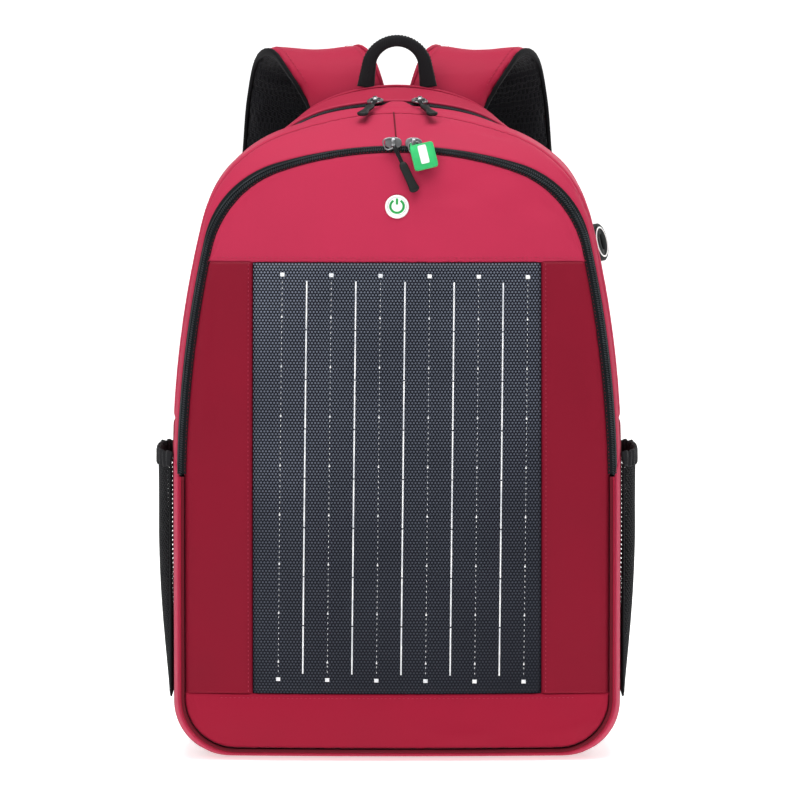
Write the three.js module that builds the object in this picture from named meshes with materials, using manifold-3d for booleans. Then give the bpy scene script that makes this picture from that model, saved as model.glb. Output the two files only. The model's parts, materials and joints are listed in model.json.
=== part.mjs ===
// Solar backpack: a soft two-compartment bag with a flexible solar panel sewn into the cover of its
// front pocket. Millimetres, +Z up, +X to the right of a viewer who faces the solar panel, -Y towards
// that viewer and +Y towards the wearer. The origin is the centre of the base, on the floor.
import * as THREE from "three";
import { mergeVertices } from "three/addons/utils/BufferGeometryUtils.js";
import Module from "manifold-3d";

const wasm = await Module();
wasm.setup();

// ---------- driving dimensions ----------
const BACK_Y = 62; // front face of the back panel
const FABRIC = 2.4; // shell cloth with its foam and lining
const GAP = 0.4; // space kept between neighbouring pieces
const ZIP_END_Z = 201; // height where the front zip stops on both sides
const TAPE = 4.2; // half of the front zip: tape and teeth
const MAIN_ZIP = { front: 0.69, back: 0.755 }; // shares of the depth between cover and back
const SEAM_Z = { top: 350, bottom: 48 }; // seams above and below the solar panel
const WINDOW = 101; // half width of the solar panel
const BADGE = { x: 0.7, z: 388, radius: 8.4 }; // round power button on the upper panel
const STRAP = { root: 27, arch: 32.5, end: 22, half: 5 }; // half widths and half thickness
const HANDLE = { y: 66, radius: 19.6, top: 500, foot: 472 }; // centre line of the grab handle

// Half outlines, from the top centre round to the bottom centre: each is a chain of arcs
// [radius, sweep in degrees], a straight side, one bottom corner and a flat bottom.
const FRONT = arcChain({ top: 429, arcs: [[264, 19], [75, 59], [830, 12]], bottom: 4, corner: 40 });
const BODY = arcChain({ top: 458, arcs: [[227, 20.2], [94, 56], [726, 13.8]], bottom: 0, corner: 40 });
const BACK = arcChain({ top: 469.5, arcs: [[135, 27], [112, 48], [560, 15]], bottom: 0, corner: 38 });

// ---------- colours ----------
const cloth = material(0xb4243f, 0.75);
const darkCloth = material(0x1b1c20, 0.85);
const webbing = material(0x1a1a1e, 0.8);
const mesh3d = material(0x111114, 0.9);
const rubber = material(0x1f2224, 0.6);
const steel = material(0xc8c8cc, 0.25, 1);
const greenPlastic = material(0x2fd067, 0.45);
const whitePlastic = material(0xf4f4f2, 0.4);
const blackPlastic = material(0x202226, 0.5);
const clearFilm = material(0x1a2338, 0.15);
const solarCell = material(0x10182a, 0.35);
const lining = material(0x24262c, 0.9);

const bag = new THREE.Group();

function material(color, roughness, metalness = 0) {
  return new THREE.MeshStandardMaterial({ color, roughness, metalness });
}

function add(name, geometry, finish, parent = bag) {
  const mesh = new THREE.Mesh(geometry, finish);
  mesh.name = name;
  parent.add(mesh);
  return mesh;
}

// A mirrored pair: the piece is built for the right side.
function addPair(name, geometry, finish) {
  add(`${name}_right`, geometry, finish);
  add(`${name}_left`, geometry, finish).scale.x = -1;
}

// ---------- outlines ----------
// at(u) runs over six stretches: three arcs, the straight side, the corner and the bottom. A negative u
// is the left half. inset(d) is the same outline d mm further in.
function arcChain({ top, arcs, bottom, corner }) {
  const parts = [];
  let x = 0, z = top, heading = 0;
  for (const [radius, degrees] of arcs) {
    const sweep = THREE.MathUtils.degToRad(degrees);
    const cx = x - radius * Math.sin(heading);
    const cz = z - radius * Math.cos(heading);
    parts.push({ cx, cz, radius, start: heading, sweep });
    heading += sweep;
    x = cx + radius * Math.sin(heading);
    z = cz + radius * Math.cos(heading);
  }
  const side = x;
  const sideTop = z;
  const cornerTop = bottom + corner;
  parts.push(null);
  parts.push({ cx: side - corner, cz: cornerTop, radius: corner, start: Math.PI / 2, sweep: Math.PI / 2 });

  function at(u) {
    const sign = u < 0 ? -1 : 1;
    const index = Math.min(Math.floor(Math.abs(u)), 5);
    const t = Math.abs(u) - index;
    if (index === 3) return [sign * side, lerp(sideTop, cornerTop, t)];
    if (index === 5) return [sign * (side - corner) * (1 - t), bottom];
    const arc = parts[index];
    const a = arc.start + arc.sweep * t;
    return [sign * (arc.cx + arc.radius * Math.sin(a)), arc.cz + arc.radius * Math.cos(a)];
  }
  // The u of height z on the right side, above the corner.
  function uAt(z) {
    if (z <= sideTop) return 3 + (sideTop - z) / (sideTop - cornerTop);
    for (let k = 0; k < 3; k++) {
      const arc = parts[k];
      if (z >= arc.cz + arc.radius * Math.cos(arc.start + arc.sweep) || k === 2)
        return k + (Math.acos(Math.min(1, (z - arc.cz) / arc.radius)) - arc.start) / arc.sweep;
    }
  }
  return {
    at,
    uAt,
    widthAt: (z) => at(uAt(z))[0],
    topArc: parts[0],
    inset: (d) => arcChain({
      top: top - d, arcs: arcs.map(([radius, degrees]) => [radius - d, degrees]),
      bottom: bottom + d, corner: corner - d,
    }),
  };
}

const lerp = THREE.MathUtils.lerp;
const smooth = (t) => (1 + Math.cos(Math.PI * Math.min(Math.abs(t), 1))) / 2; // 1 at 0, 0 from 1 on

// ---------- the bag's curved surfaces ----------
// Depth of the front cover's edge at height z: upright low down, leaning back higher up, and tucked in
// at the floor.
function lean(z) {
  return -76 + 0.00036 * Math.max(0, z - 90) ** 2 + 0.006 * Math.max(0, 40 - z) ** 2;
}

// Depth of the front cover's face, which crowns 8 mm forward between its edges.
function coverY(x, z) {
  const r = Math.hypot(x / 147, Math.max(0, z - 300) / 130);
  return lean(z) - 8 * Math.max(0, 1 - r * r);
}

// The shell between the front zip (v = 0) and the back panel (v = 1), by outline place u.
function shell(u, v) {
  const top = smooth(u / 2);
  const front = Math.max(0, 1 - v / lerp(0.2, 0.55, top)) ** 2;
  const back = (Math.max(0, v - 0.7) / 0.3) ** 2;
  const [fx, fz] = FRONT.at(u);
  const [mx, mz] = BODY.at(u);
  const [bx, bz] = BACK.at(u);
  const middle = 1 - front - back;
  return new THREE.Vector3(
    fx * front + mx * middle + bx * back,
    lerp(coverY(fx, fz), BACK_Y, v),
    fz * front + (mz + 25 * (v - 0.74) * top) * middle + bz * back,
  );
}

// The seam between the front pocket's gusset and the main gusset: far back at the top, near the zip at
// the sides.
const seamV = (u) => lerp(0.12, 0.5, smooth(u / 2));

// ---------- solids ----------
// A closed geometry from points and triangles, turned to face out.
function closedGeometry(points, triangles) {
  let volume = 0;
  const cross = new THREE.Vector3();
  for (const [a, b, c] of triangles) volume += points[a].dot(cross.crossVectors(points[b], points[c]));
  const index = triangles.flatMap(([a, b, c]) => (volume < 0 ? [a, c, b] : [a, b, c]));
  return new THREE.BufferGeometry().setFromPoints(points).setIndex(index);
}

// A sheet that follows surface(a, b), a and b from 0 to 1, between depths from and to below its face.
// flip turns the side that counts as below.
function sheet(surface, across, along, { from = 0, to = FABRIC, flip = false } = {}) {
  const step = 1e-3;
  const points = [];
  const triangles = [];
  const normal = (a, b) => {
    const alongA = surface(Math.min(1, a + step), b).sub(surface(Math.max(0, a - step), b));
    const alongB = surface(a, Math.min(1, b + step)).sub(surface(a, Math.max(0, b - step)));
    const n = alongA.cross(alongB).normalize();
    return flip ? n.negate() : n;
  };
  for (const depth of [from, to])
    for (let i = 0; i <= across; i++)
      for (let j = 0; j <= along; j++) {
        const a = i / across;
        const b = j / along;
        points.push(surface(a, b).addScaledVector(normal(a, b), depth));
      }
  const at = (layer, i, j) => (layer * (across + 1) + i) * (along + 1) + j;
  const quad = (a, b, c, d) => triangles.push([a, b, c], [a, c, d]);
  for (let i = 0; i < across; i++)
    for (let j = 0; j < along; j++) {
      quad(at(0, i, j), at(0, i + 1, j), at(0, i + 1, j + 1), at(0, i, j + 1));
      quad(at(1, i, j), at(1, i, j + 1), at(1, i + 1, j + 1), at(1, i + 1, j));
    }
  for (let i = 0; i < across; i++) {
    quad(at(0, i, 0), at(1, i, 0), at(1, i + 1, 0), at(0, i + 1, 0));
    quad(at(0, i, along), at(0, i + 1, along), at(1, i + 1, along), at(1, i, along));
  }
  for (let j = 0; j < along; j++) {
    quad(at(0, 0, j), at(0, 0, j + 1), at(1, 0, j + 1), at(1, 0, j));
    quad(at(0, across, j), at(1, across, j), at(1, across, j + 1), at(0, across, j + 1));
  }
  return closedGeometry(points, triangles);
}

// A bar swept along frames { point, side, up } with section(t), a convex ring of [sideways, upwards].
function sweep(frames, section) {
  const points = [];
  const triangles = [];
  const size = section(0).length;
  frames.forEach(({ point, side, up }, k) => {
    for (const [s, n] of section(k / (frames.length - 1)))
      points.push(point.clone().addScaledVector(side, s).addScaledVector(up, n));
  });
  for (let k = 0; k + 1 < frames.length; k++)
    for (let i = 0; i < size; i++) {
      const j = (i + 1) % size;
      const a = k * size;
      const b = a + size;
      triangles.push([a + i, a + j, b + j], [a + i, b + j, b + i]);
    }
  const last = (frames.length - 1) * size;
  for (let i = 1; i + 1 < size; i++) triangles.push([0, i + 1, i], [last, last + i, last + i + 1]);
  return closedGeometry(points, triangles);
}

// Frames along a curve. The side direction stays as close to `across` as it can.
function framesAlong(curve, steps, across) {
  return Array.from({ length: steps + 1 }, (_, k) => {
    const tangent = curve.getTangentAt(k / steps);
    const side = across.clone().addScaledVector(tangent, -across.dot(tangent)).normalize();
    return { point: curve.getPointAt(k / steps), side, up: side.clone().cross(tangent).normalize() };
  });
}

// A rounded oblong ring, half width w and half height h.
function oblong(w, h, round = 3) {
  const ring = [];
  const r = Math.min(w, h);
  for (let quarter = 0; quarter < 4; quarter++)
    for (let k = 0; k <= round; k++) {
      const a = ((quarter + k / round) * Math.PI) / 2;
      const cx = (w - r) * (quarter === 0 || quarter === 3 ? 1 : -1);
      const cz = (h - r) * (quarter < 2 ? 1 : -1);
      ring.push([cx + r * Math.cos(a), cz + r * Math.sin(a)]);
    }
  const apart = ([ax, az], [bx, bz]) => Math.hypot(ax - bx, az - bz) > 1e-6;
  return ring.filter((p, i) => apart(p, ring.at(i - 1)));
}

const ringShape = (points) => new THREE.Shape(points.map(([x, y]) => new THREE.Vector2(x, y)));
const flatBar = (w, t) => [[w, t], [-w, t], [-w, -t], [w, -t]];

function toManifold(geometry) {
  const g = geometry.clone();
  g.deleteAttribute("normal");
  g.deleteAttribute("uv");
  const merged = mergeVertices(g, 1e-4);
  return new wasm.Manifold(new wasm.Mesh({
    numProp: 3,
    vertProperties: merged.attributes.position.array,
    triVerts: new Uint32Array(merged.index.array),
  }));
}

function fromManifold(solid) {
  const { numProp, vertProperties, triVerts } = solid.getMesh();
  const position = new Float32Array((vertProperties.length / numProp) * 3);
  for (let i = 0; i < position.length / 3; i++)
    position.set(vertProperties.subarray(i * numProp, i * numProp + 3), i * 3);
  return new THREE.BufferGeometry()
    .setAttribute("position", new THREE.BufferAttribute(position, 3))
    .setIndex(Array.from(triVerts));
}

const join = (...geometries) => fromManifold(geometries.map(toManifold).reduce((a, b) => a.add(b)));
const cut = (geometry, ...tools) =>
  fromManifold(tools.map(toManifold).reduce((a, b) => a.subtract(b), toManifold(geometry)));

// An extrusion of a shape, centred on its own plane.
function slab(shape, depth, curveSegments = 6) {
  const options = { depth, bevelEnabled: false, curveSegments };
  return new THREE.ExtrudeGeometry(shape, options).translate(0, 0, -depth / 2);
}

// The four corners of a rounded rectangle, and the shape of one.
function roundedRect(w, h, r) {
  const corner = (x, y, start) => (path) => path.absarc(x, y, r, start, start + Math.PI / 2);
  const x = w / 2 - r;
  const y = h / 2 - r;
  return [corner(x, y, 0), corner(-x, y, Math.PI / 2), corner(-x, -y, Math.PI), corner(x, -y, 1.5 * Math.PI)];
}
const drawn = (path, arcs) => arcs.reduce((p, arc) => arc(p), path);
const roundRect = (w, h, r) => drawn(new THREE.Shape(), roundedRect(w, h, r));

function box(w, d, h, x = 0, y = 0, z = 0) {
  return new THREE.BoxGeometry(w, d, h).translate(x, y, z);
}

// ---------- the shell of the bag ----------
// Places along the outlines, and shares of the depth, where the cloth pieces meet.
const ZIP_END = FRONT.uAt(ZIP_END_Z);
const PANEL = { top: 2.8, bottom: 4.7, front: 0.126, back: 0.992 };
const SEAM_SHARE = 0.004; // half of the space at a seam across the depth
const ZIP_SHARE = 0.036; // the front gusset starts behind the zip's tape
const FRONT_STRIP = { front: 0.02, back: 0.118 }; // the strip under the zip's ends

function shellPatch(uRange, vRange, across, along, options) {
  const [u0, u1] = uRange;
  const limits = (u) => (typeof vRange === "function" ? vRange(u) : vRange);
  return sheet((a, b) => {
    const u = lerp(u0, u1, a);
    return shell(u, lerp(...limits(u), b));
  }, across, along, { flip: true, ...options });
}

for (const [name, sign] of [["left", -1], ["right", 1]]) {
  const upward = (a, b) => a - b;
  const gusset = [sign * 0.012, sign * ZIP_END].sort(upward);
  add(`front_gusset_${name}`,
    shellPatch(gusset, (u) => [ZIP_SHARE, seamV(u) - SEAM_SHARE], 16, 3), cloth);
  const panel = [sign * PANEL.top, sign * PANEL.bottom].sort(upward);
  add(`side_panel_${name}`, shellPatch(panel, [PANEL.front, PANEL.back], 9, 8), cloth);
}
const acrossTop = (space) => [space - PANEL.top, PANEL.top - space];
add("main_gusset", shellPatch(acrossTop(0.02),
  (u) => [seamV(u) + SEAM_SHARE, MAIN_ZIP.front - SEAM_SHARE], 32, 3), cloth);
add("rear_gusset", shellPatch(acrossTop(0.02), [MAIN_ZIP.back + 0.006, PANEL.back], 32, 2), cloth);
const tapeDepths = { from: 0.4, to: 1.9 };
const mainTape = shellPatch(acrossTop(0.04), [MAIN_ZIP.front, MAIN_ZIP.back], 32, 1, tapeDepths);
add("main_zip_tape", mainTape, webbing);
add("front_zip_bag_tape", shellPatch([-ZIP_END, ZIP_END], [0.005, 0.033], 32, 1, tapeDepths), webbing);

// The strip under the zip's two ends and round the bottom, and the base, run through the bottom centre.
const roundBottom = (start) => (a) => (a < 0.5 ? lerp(-start, -6, a * 2) : lerp(6, start, a * 2 - 1));
const stripU = roundBottom(ZIP_END + 0.03);
const stripPoint = (a, b) => shell(stripU(a), lerp(FRONT_STRIP.front, FRONT_STRIP.back, b));
add("front_gusset_lower", sheet(stripPoint, 32, 1), cloth);
const baseU = roundBottom(PANEL.bottom + 0.03);
const basePoint = (a, b) => shell(baseU(a), lerp(PANEL.front, PANEL.back, b));
add("base_panel", sheet(basePoint, 16, 6, { to: 3 }), cloth);

// ---------- the back panel and what is sewn to it ----------
// A flat plate inside an outline, between two depths.
function plate(chain, y0, y1, steps = 48) {
  const points = Array.from({ length: steps }, (_, k) => {
    const u = (k / steps) * 12;
    return new THREE.Vector2(...chain.at(u <= 6 ? u : u - 12));
  });
  const shape = new THREE.Shape(points);
  return new THREE.ExtrudeGeometry(shape, { depth: y1 - y0, bevelEnabled: false })
    .rotateX(Math.PI / 2).translate(0, y1, 0);
}
const PAD_Y = BACK_Y + GAP + 7; // outer face of the back panel
add("back_panel", plate(BACK.inset(0.5), BACK_Y + GAP, PAD_Y), darkCloth);

// Padded cushions on the back: two long ones beside an air channel, and one across the lumbar.
const PAD = { thick: 11, corner: 14, inner: 14, outer: 118, low: 120, high: 385 };
const LUMBAR = { half: 95, low: 32, high: 108, thick: 14 };
function cushion(x0, x1, z0, z1, thick) {
  const shape = roundRect(x1 - x0, z1 - z0, PAD.corner);
  return slab(shape, thick, 4).rotateX(Math.PI / 2)
    .translate((x0 + x1) / 2, PAD_Y + GAP + thick / 2, (z0 + z1) / 2);
}
add("back_pad_left", cushion(-PAD.outer, -PAD.inner, PAD.low, PAD.high, PAD.thick), mesh3d);
add("back_pad_right", cushion(PAD.inner, PAD.outer, PAD.low, PAD.high, PAD.thick), mesh3d);
add("lumbar_pad", cushion(-LUMBAR.half, LUMBAR.half, LUMBAR.low, LUMBAR.high, LUMBAR.thick), mesh3d);

// ---------- inside ----------
// The wall between the two compartments hangs just inside the seam between the two gussets.
const WALL_INSET = 5;
function dividerPoint(a, b) {
  const u = lerp(0.3, 4.8, b);
  const seam = shell(u, seamV(u));
  const step = shell(u + 0.01, seamV(u)).sub(seam).setY(0).normalize();
  const edge = new THREE.Vector3(-step.z, 0, step.x).multiplyScalar(-WALL_INSET).add(seam);
  return new THREE.Vector3(lerp(-edge.x, edge.x, a), edge.y, edge.z);
}
add("divider_wall", sheet(dividerPoint, 4, 16, { to: 1.6 }), lining);

const SLEEVE = { width: 224, height: 290, depth: 12, slot: 7, wall: 3, floor: 10 };
const sleeveY = BACK_Y - GAP - SLEEVE.depth / 2;
const sleeveZ = SLEEVE.floor + SLEEVE.height / 2;
add("laptop_sleeve", cut(
  box(SLEEVE.width, SLEEVE.depth, SLEEVE.height, 0, sleeveY, sleeveZ),
  box(SLEEVE.width - 2 * SLEEVE.wall, SLEEVE.slot, SLEEVE.height, 0, sleeveY, sleeveZ + SLEEVE.wall),
), lining);

// ---------- side pockets ----------
// The point of the right side of the shell at depth y and height z.
function sidePoint(y, z) {
  let above = 0.5;
  let below = 4.6;
  let point;
  for (let k = 0; k < 30; k++) {
    const u = (above + below) / 2;
    const front = coverY(...FRONT.at(u));
    point = shell(u, (y - front) / (BACK_Y - front));
    if (point.z > z) above = u;
    else below = u;
  }
  return point;
}

const POCKET = { y0: -54, y1: 44, z0: 45, z1: 206, rim: 10, bulge: 8.5 };
// A pocket stands off the side panel: b runs from its bottom seam (0) to its mouth (1), and past it on
// the binding.
function pocketPoint(a, b) {
  const point = sidePoint(lerp(POCKET.y0, POCKET.y1, a), lerp(POCKET.z0, POCKET.z1, b));
  const bulge = POCKET.bulge * (1 - (2 * a - 1) ** 4) * Math.sin((Math.PI / 2) * Math.min(1, 1.4 * b));
  return point.add(new THREE.Vector3(2.4 + bulge, 0, 0));
}
const rimShare = POCKET.rim / (POCKET.z1 - POCKET.z0);
const bindingPoint = (a, b) => pocketPoint(a, lerp(1.003, 1 + rimShare, b));
addPair("side_pocket", sheet(pocketPoint, 8, 8, { to: 1.2, flip: true }), mesh3d);
addPair("pocket_binding", sheet(bindingPoint, 8, 1, { to: 2, flip: true }), webbing);

// ---------- local frames ----------
// A matrix for a piece built with X along the cloth, Y out of the cloth and Z the way a pull hangs.
function placement(origin, along, out) {
  const x = along.clone().normalize(), z = x.clone().cross(out).normalize();
  return new THREE.Matrix4().makeBasis(x, z.clone().cross(x), z).setPosition(origin);
}

function normalTo(surface, a, b, step = 1e-2) {
  const alongA = surface(a + step, b).sub(surface(a - step, b));
  const alongB = surface(a, b + step).sub(surface(a, b - step));
  return alongA.cross(alongB).normalize();
}

const coverPoint = (x, z) => new THREE.Vector3(x, coverY(x, z), z);
const X_AXIS = new THREE.Vector3(1, 0, 0);
const onCover = (x, z) => placement(coverPoint(x, z), X_AXIS, normalTo(coverPoint, x, z));

// ---------- the cable port on the right side ----------
const PORT = { y: -8, z: 360, half: { across: 9, along: 13.5 }, thick: 2.2 };
function cablePort() {
  const patch = new THREE.Shape().absellipse(0, 0, PORT.half.across, PORT.half.along, 0, Math.PI * 2);
  const slit = new THREE.Path().absellipse(0, 0, 1.6, 6.5, 0, Math.PI * 2, true);
  patch.holes.push(slit);
  return slab(patch, PORT.thick, 10).rotateX(-Math.PI / 2);
}
const portNormal = normalTo((y, z) => sidePoint(y, z), PORT.y, PORT.z, 1);
const portCentre = sidePoint(PORT.y, PORT.z).addScaledVector(portNormal, 0.6 + PORT.thick / 2);
const portPlace = placement(portCentre, new THREE.Vector3(0, 1, 0), portNormal);
add("cable_port", cablePort().applyMatrix4(portPlace), rubber);

// ---------- the front cover ----------
const cover = new THREE.Group();
bag.add(cover);
const inner = FRONT.inset(TAPE + GAP); // edge of the cover's cloth

// A patch of the cover across its whole width, between two outline places.
function coverRows(u0, u1, rows, across = 10) {
  return sheet((a, b) => {
    const [x, z] = inner.at(lerp(u0, u1, b));
    return coverPoint(lerp(-x, x, a), z);
  }, across, rows);
}
// A patch of the cover between the solar panel's two seams. Its side limits are functions of the height.
const PANEL_LOW = SEAM_Z.bottom + GAP / 2;
const PANEL_HIGH = SEAM_Z.top - GAP / 2;
function coverPatch(left, right, across, depths = {}) {
  return sheet((a, b) => {
    const z = lerp(PANEL_HIGH, PANEL_LOW, b);
    return coverPoint(lerp(left(z), right(z), a), z);
  }, across, 10, depths);
}

const badgePlace = onCover(BADGE.x, BADGE.z);
const disc = (radius, y0, y1, sides = 20) =>
  new THREE.CylinderGeometry(radius, radius, y1 - y0, sides).translate(0, (y0 + y1) / 2, 0);
const badgeHole = disc(BADGE.radius + GAP, -8, 8).applyMatrix4(badgePlace);
add("cover_top_panel", cut(coverRows(0.1, inner.uAt(SEAM_Z.top + GAP / 2), 9, 8), badgeHole), cloth, cover);
add("cover_bottom_band", coverRows(inner.uAt(SEAM_Z.bottom - GAP / 2), 5, 5), cloth, cover);
const stripEdge = WINDOW + GAP / 2;
add("cover_strip_right", coverPatch(() => stripEdge, inner.widthAt, 2), cloth, cover);
add("cover_strip_left", coverPatch((z) => -inner.widthAt(z), () => -stripEdge, 2), cloth, cover);

// Solar panel: clear film over a layer of cells over a backing sheet.
const half = WINDOW - GAP / 2;
const solarLayer = (depths) => coverPatch(() => -half, () => half, 6, depths);
add("solar_film", solarLayer({ from: 0, to: 0.5 }), clearFilm, cover);
add("solar_cells", solarLayer({ from: 0.8, to: 1.3 }), solarCell, cover);
add("solar_backing", solarLayer({ from: 1.6, to: FABRIC }), lining, cover);

// Front zip's tape on the cover, and the piping that carries on where the zip stops.
const coverTapePoint = (a, b) =>
  coverPoint(...FRONT.inset(lerp(2.3, TAPE, b)).at(lerp(-ZIP_END, ZIP_END, a)));
add("front_zip_cover_tape", sheet(coverTapePoint, 36, 1, tapeDepths), webbing, cover);

const pipingPath = FRONT.inset(2.9);
const pipingU = roundBottom(ZIP_END + 0.03);
const pipingFrames = Array.from({ length: 29 }, (_, k) => {
  const at = (t) => coverPoint(...pipingPath.at(pipingU(t)));
  const t = k / 28;
  const tangent = at(Math.min(1, t + 1e-3)).sub(at(Math.max(0, t - 1e-3))).normalize();
  const side = new THREE.Vector3(0, 1, 0).addScaledVector(tangent, -tangent.y).normalize();
  return { point: at(t), side, up: side.clone().cross(tangent) };
});
add("cover_piping", sweep(pipingFrames, () => oblong(1.3, 1.3, 2)), darkCloth, cover);

// Power button in its housing, a cup through the upper panel.
const switchCup = cut(disc(BADGE.radius, -7, 1), disc(6.6, -5, 2));
add("power_switch_housing", switchCup.applyMatrix4(badgePlace), whitePlastic, cover);
add("power_button", disc(6.2, -2.4, 1.5).applyMatrix4(badgePlace), whitePlastic);

// Junction box behind the cells, USB controller in the pocket, and the lead between them.
const JUNCTION = { x: 0, z: 318, w: 64, h: 22, t: 5, depth: FABRIC + 1.2 };
const USB = { x: 62, z: 262, w: 56, h: 34, t: 10, depth: FABRIC + 3.4 };
const housing = ({ w, t, h, depth }) => box(w, t, h, 0, -depth - t / 2, 0);
const junctionPlace = onCover(JUNCTION.x, JUNCTION.z);
add("junction_box", housing(JUNCTION).applyMatrix4(junctionPlace), blackPlastic, cover);
// The socket is two slots, above and below its tongue.
const usbSlots = [-1.75, 1.75].map((y) => box(12.5, 1.7, 18, 0, y - USB.depth - USB.t / 2, USB.h / 2));
const controller = cut(housing(USB), ...usbSlots);
add("usb_controller", controller.applyMatrix4(onCover(USB.x, USB.z)), blackPlastic, cover);

const leadPoint = (x, z) => new THREE.Vector3(x, coverY(x, z) + USB.depth + 1.6, z);
const leadRoute = new THREE.CatmullRomCurve3([
  leadPoint(JUNCTION.w / 2 + 0.5, JUNCTION.z), leadPoint(44, JUNCTION.z), leadPoint(57, 312),
  leadPoint(USB.x, 298), leadPoint(USB.x, USB.z + USB.h / 2 + 0.9),
]);
const leadSection = ringShape(oblong(1.7, 1.7, 2));
const lead = new THREE.ExtrudeGeometry(leadSection, { extrudePath: leadRoute, steps: 14 });
add("solar_lead", lead, rubber, cover);

// ---------- zip sliders and their pulls ----------
// Built at a pivot: plate under it, a bridge over it, and the link's bar through the bridge.
const SLIDER = { length: 12, width: 8, plate: 1.8, bridge: 3.2, hole: 2.6, pivot: 3.1, lift: 1.3 };
const LINK = { w: 9, wire: 1, long: 12, short: 7.4 }; // outer width and lengths
function sliderBody() {
  const { length, width, plate, bridge, hole, pivot } = SLIDER;
  const top = plate + hole + 1;
  const base = box(length, plate, width, 0, plate / 2 - pivot, 0);
  const arch = box(bridge, top - 1, width - 0.6, 0, (top + 1) / 2 - pivot, 0);
  return cut(join(base, arch), box(bridge + 1, hole, width - 3, 0, plate + hole / 2 - pivot, 0));
}

// A link h long hangs from the pivot towards +Z.
function linkBody(h) {
  const { w, wire } = LINK;
  const outline = roundRect(w, h, 2);
  outline.holes.push(drawn(new THREE.Path(), roundedRect(w - 2 * wire, h - 2 * wire, 1.2)));
  return slab(outline, wire, 1).rotateX(-Math.PI / 2).translate(0, 0, h / 2 - wire / 2);
}

// A tongue of rubber on an eye round the far bar of a link of that length, leaning by so many degrees.
function gripBody(tongue, lean, link) {
  const eye = new THREE.Shape().absarc(0, 0, 1.9, 0, Math.PI * 2);
  eye.holes.push(new THREE.Path().absarc(0, 0, 1.2, 0, Math.PI * 2, true));
  return join(slab(eye, 2.4, 5).rotateY(Math.PI / 2), tongue)
    .rotateY(THREE.MathUtils.degToRad(lean)).translate(0, 0, link - LINK.wire);
}
// Cord and grip: a narrow neck that widens into a flat rubber tongue.
function cordGrip(neck, length) {
  const outline = new THREE.Shape();
  const round = 3 - length; // middle of the rounded end
  outline.moveTo(-1.2, -1.6).lineTo(1.2, -1.6).lineTo(1.2, -neck).lineTo(2.8, -neck).lineTo(3.6, round);
  outline.absarc(0.6, round, 3, 0, -Math.PI / 2, true);
  outline.absarc(-0.6, round, 3, -Math.PI / 2, -Math.PI, true);
  outline.lineTo(-2.8, -neck).lineTo(-1.2, -neck);
  return slab(outline, 3.2, 2).rotateX(-Math.PI / 2);
}
// A plain rounded tag, with its eye near one of its corners.
function tagPlate(w, h, thick) {
  return slab(roundRect(w, h, 2.4), thick, 3).rotateX(-Math.PI / 2).translate(w / 2 - 5, 0, h / 2 + 1.6);
}

// Slider, link and grip on a zip at a point. The pull is lifted clear of the cloth by `tilt` degrees.
function zipPull(prefix, side, origin, along, out, tilt, link, grip, gripName, gripFinish) {
  const place = placement(origin.clone().addScaledVector(out, SLIDER.lift + SLIDER.pivot), along, out);
  const swing = new THREE.Matrix4().makeRotationX(THREE.MathUtils.degToRad(-tilt)).premultiply(place);
  add(`${prefix}_slider_${side}`, sliderBody().applyMatrix4(place), steel);
  add(`${prefix}_pull_link_${side}`, linkBody(link).applyMatrix4(swing), steel);
  add(gripName, grip.applyMatrix4(swing), gripFinish);
}

// The front zip's top is a circle in a plane that leans back with the cover.
const frontOut = normalTo((x, z) => new THREE.Vector3(x, lean(z), z), 0, 424);
function frontPull(side, x, link, grip, gripName, finish) {
  const angle = Math.asin(x / FRONT.topArc.radius);
  const z = FRONT.topArc.cz + FRONT.topArc.radius * Math.cos(angle);
  const along = new THREE.Vector3(Math.cos(angle), 0, -Math.sin(angle));
  along.addScaledVector(frontOut, -along.dot(frontOut)).normalize();
  zipPull("front", side, coverPoint(x, z), along, frontOut, 4, link, grip, gripName, finish);
}
const frontGrip = gripBody(cordGrip(11, 32), 26, LINK.short);
frontPull("left", -2.6, LINK.short, frontGrip, "front_pull_grip_left", rubber);
const tag = gripBody(tagPlate(17, 19, 3.4), 22, LINK.short);
frontPull("right", 11.6, LINK.short, tag, "front_pull_tag_right", greenPlastic);

// The main zip's top is a circle in an upright plane. Its pulls stand clear of the gusset's shoulders.
const MAIN_MIDDLE = (MAIN_ZIP.front + MAIN_ZIP.back) / 2;
function mainPull(side, x) {
  const u = Math.asin(x / BODY.topArc.radius) / BODY.topArc.sweep;
  const at = (du, dv) => shell(u + du, MAIN_MIDDLE + dv);
  const along = at(0.02, 0).sub(at(-0.02, 0)).normalize();
  const grip = gripBody(cordGrip(9, 30), Math.sign(x) * 20, LINK.long);
  const name = `main_pull_grip_${side}`;
  zipPull("main", side, at(0, 0), along, normalTo(at, 0, 0), 3, LINK.long, grip, name, rubber);
}
mainPull("left", -15.5);
mainPull("right", 16);

// ---------- carrying handle and shoulder straps ----------
function handlePath() {
  const { y, radius, top, foot } = HANDLE;
  const arch = Array.from({ length: 9 }, (_, k) => {
    const a = Math.PI * (1 - k / 8);
    return new THREE.Vector3(radius * Math.cos(a), y, top - radius + radius * Math.sin(a));
  });
  const feet = [-radius, radius].map((x) => new THREE.Vector3(x, y, foot));
  return new THREE.CatmullRomCurve3([feet[0], ...arch, feet[1]], false, "centripetal");
}
const handleFrames = framesAlong(handlePath(), 20, new THREE.Vector3(0, 1, 0));
add("grab_handle", sweep(handleFrames, () => oblong(3.4, 5.6, 2)), webbing);

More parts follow.
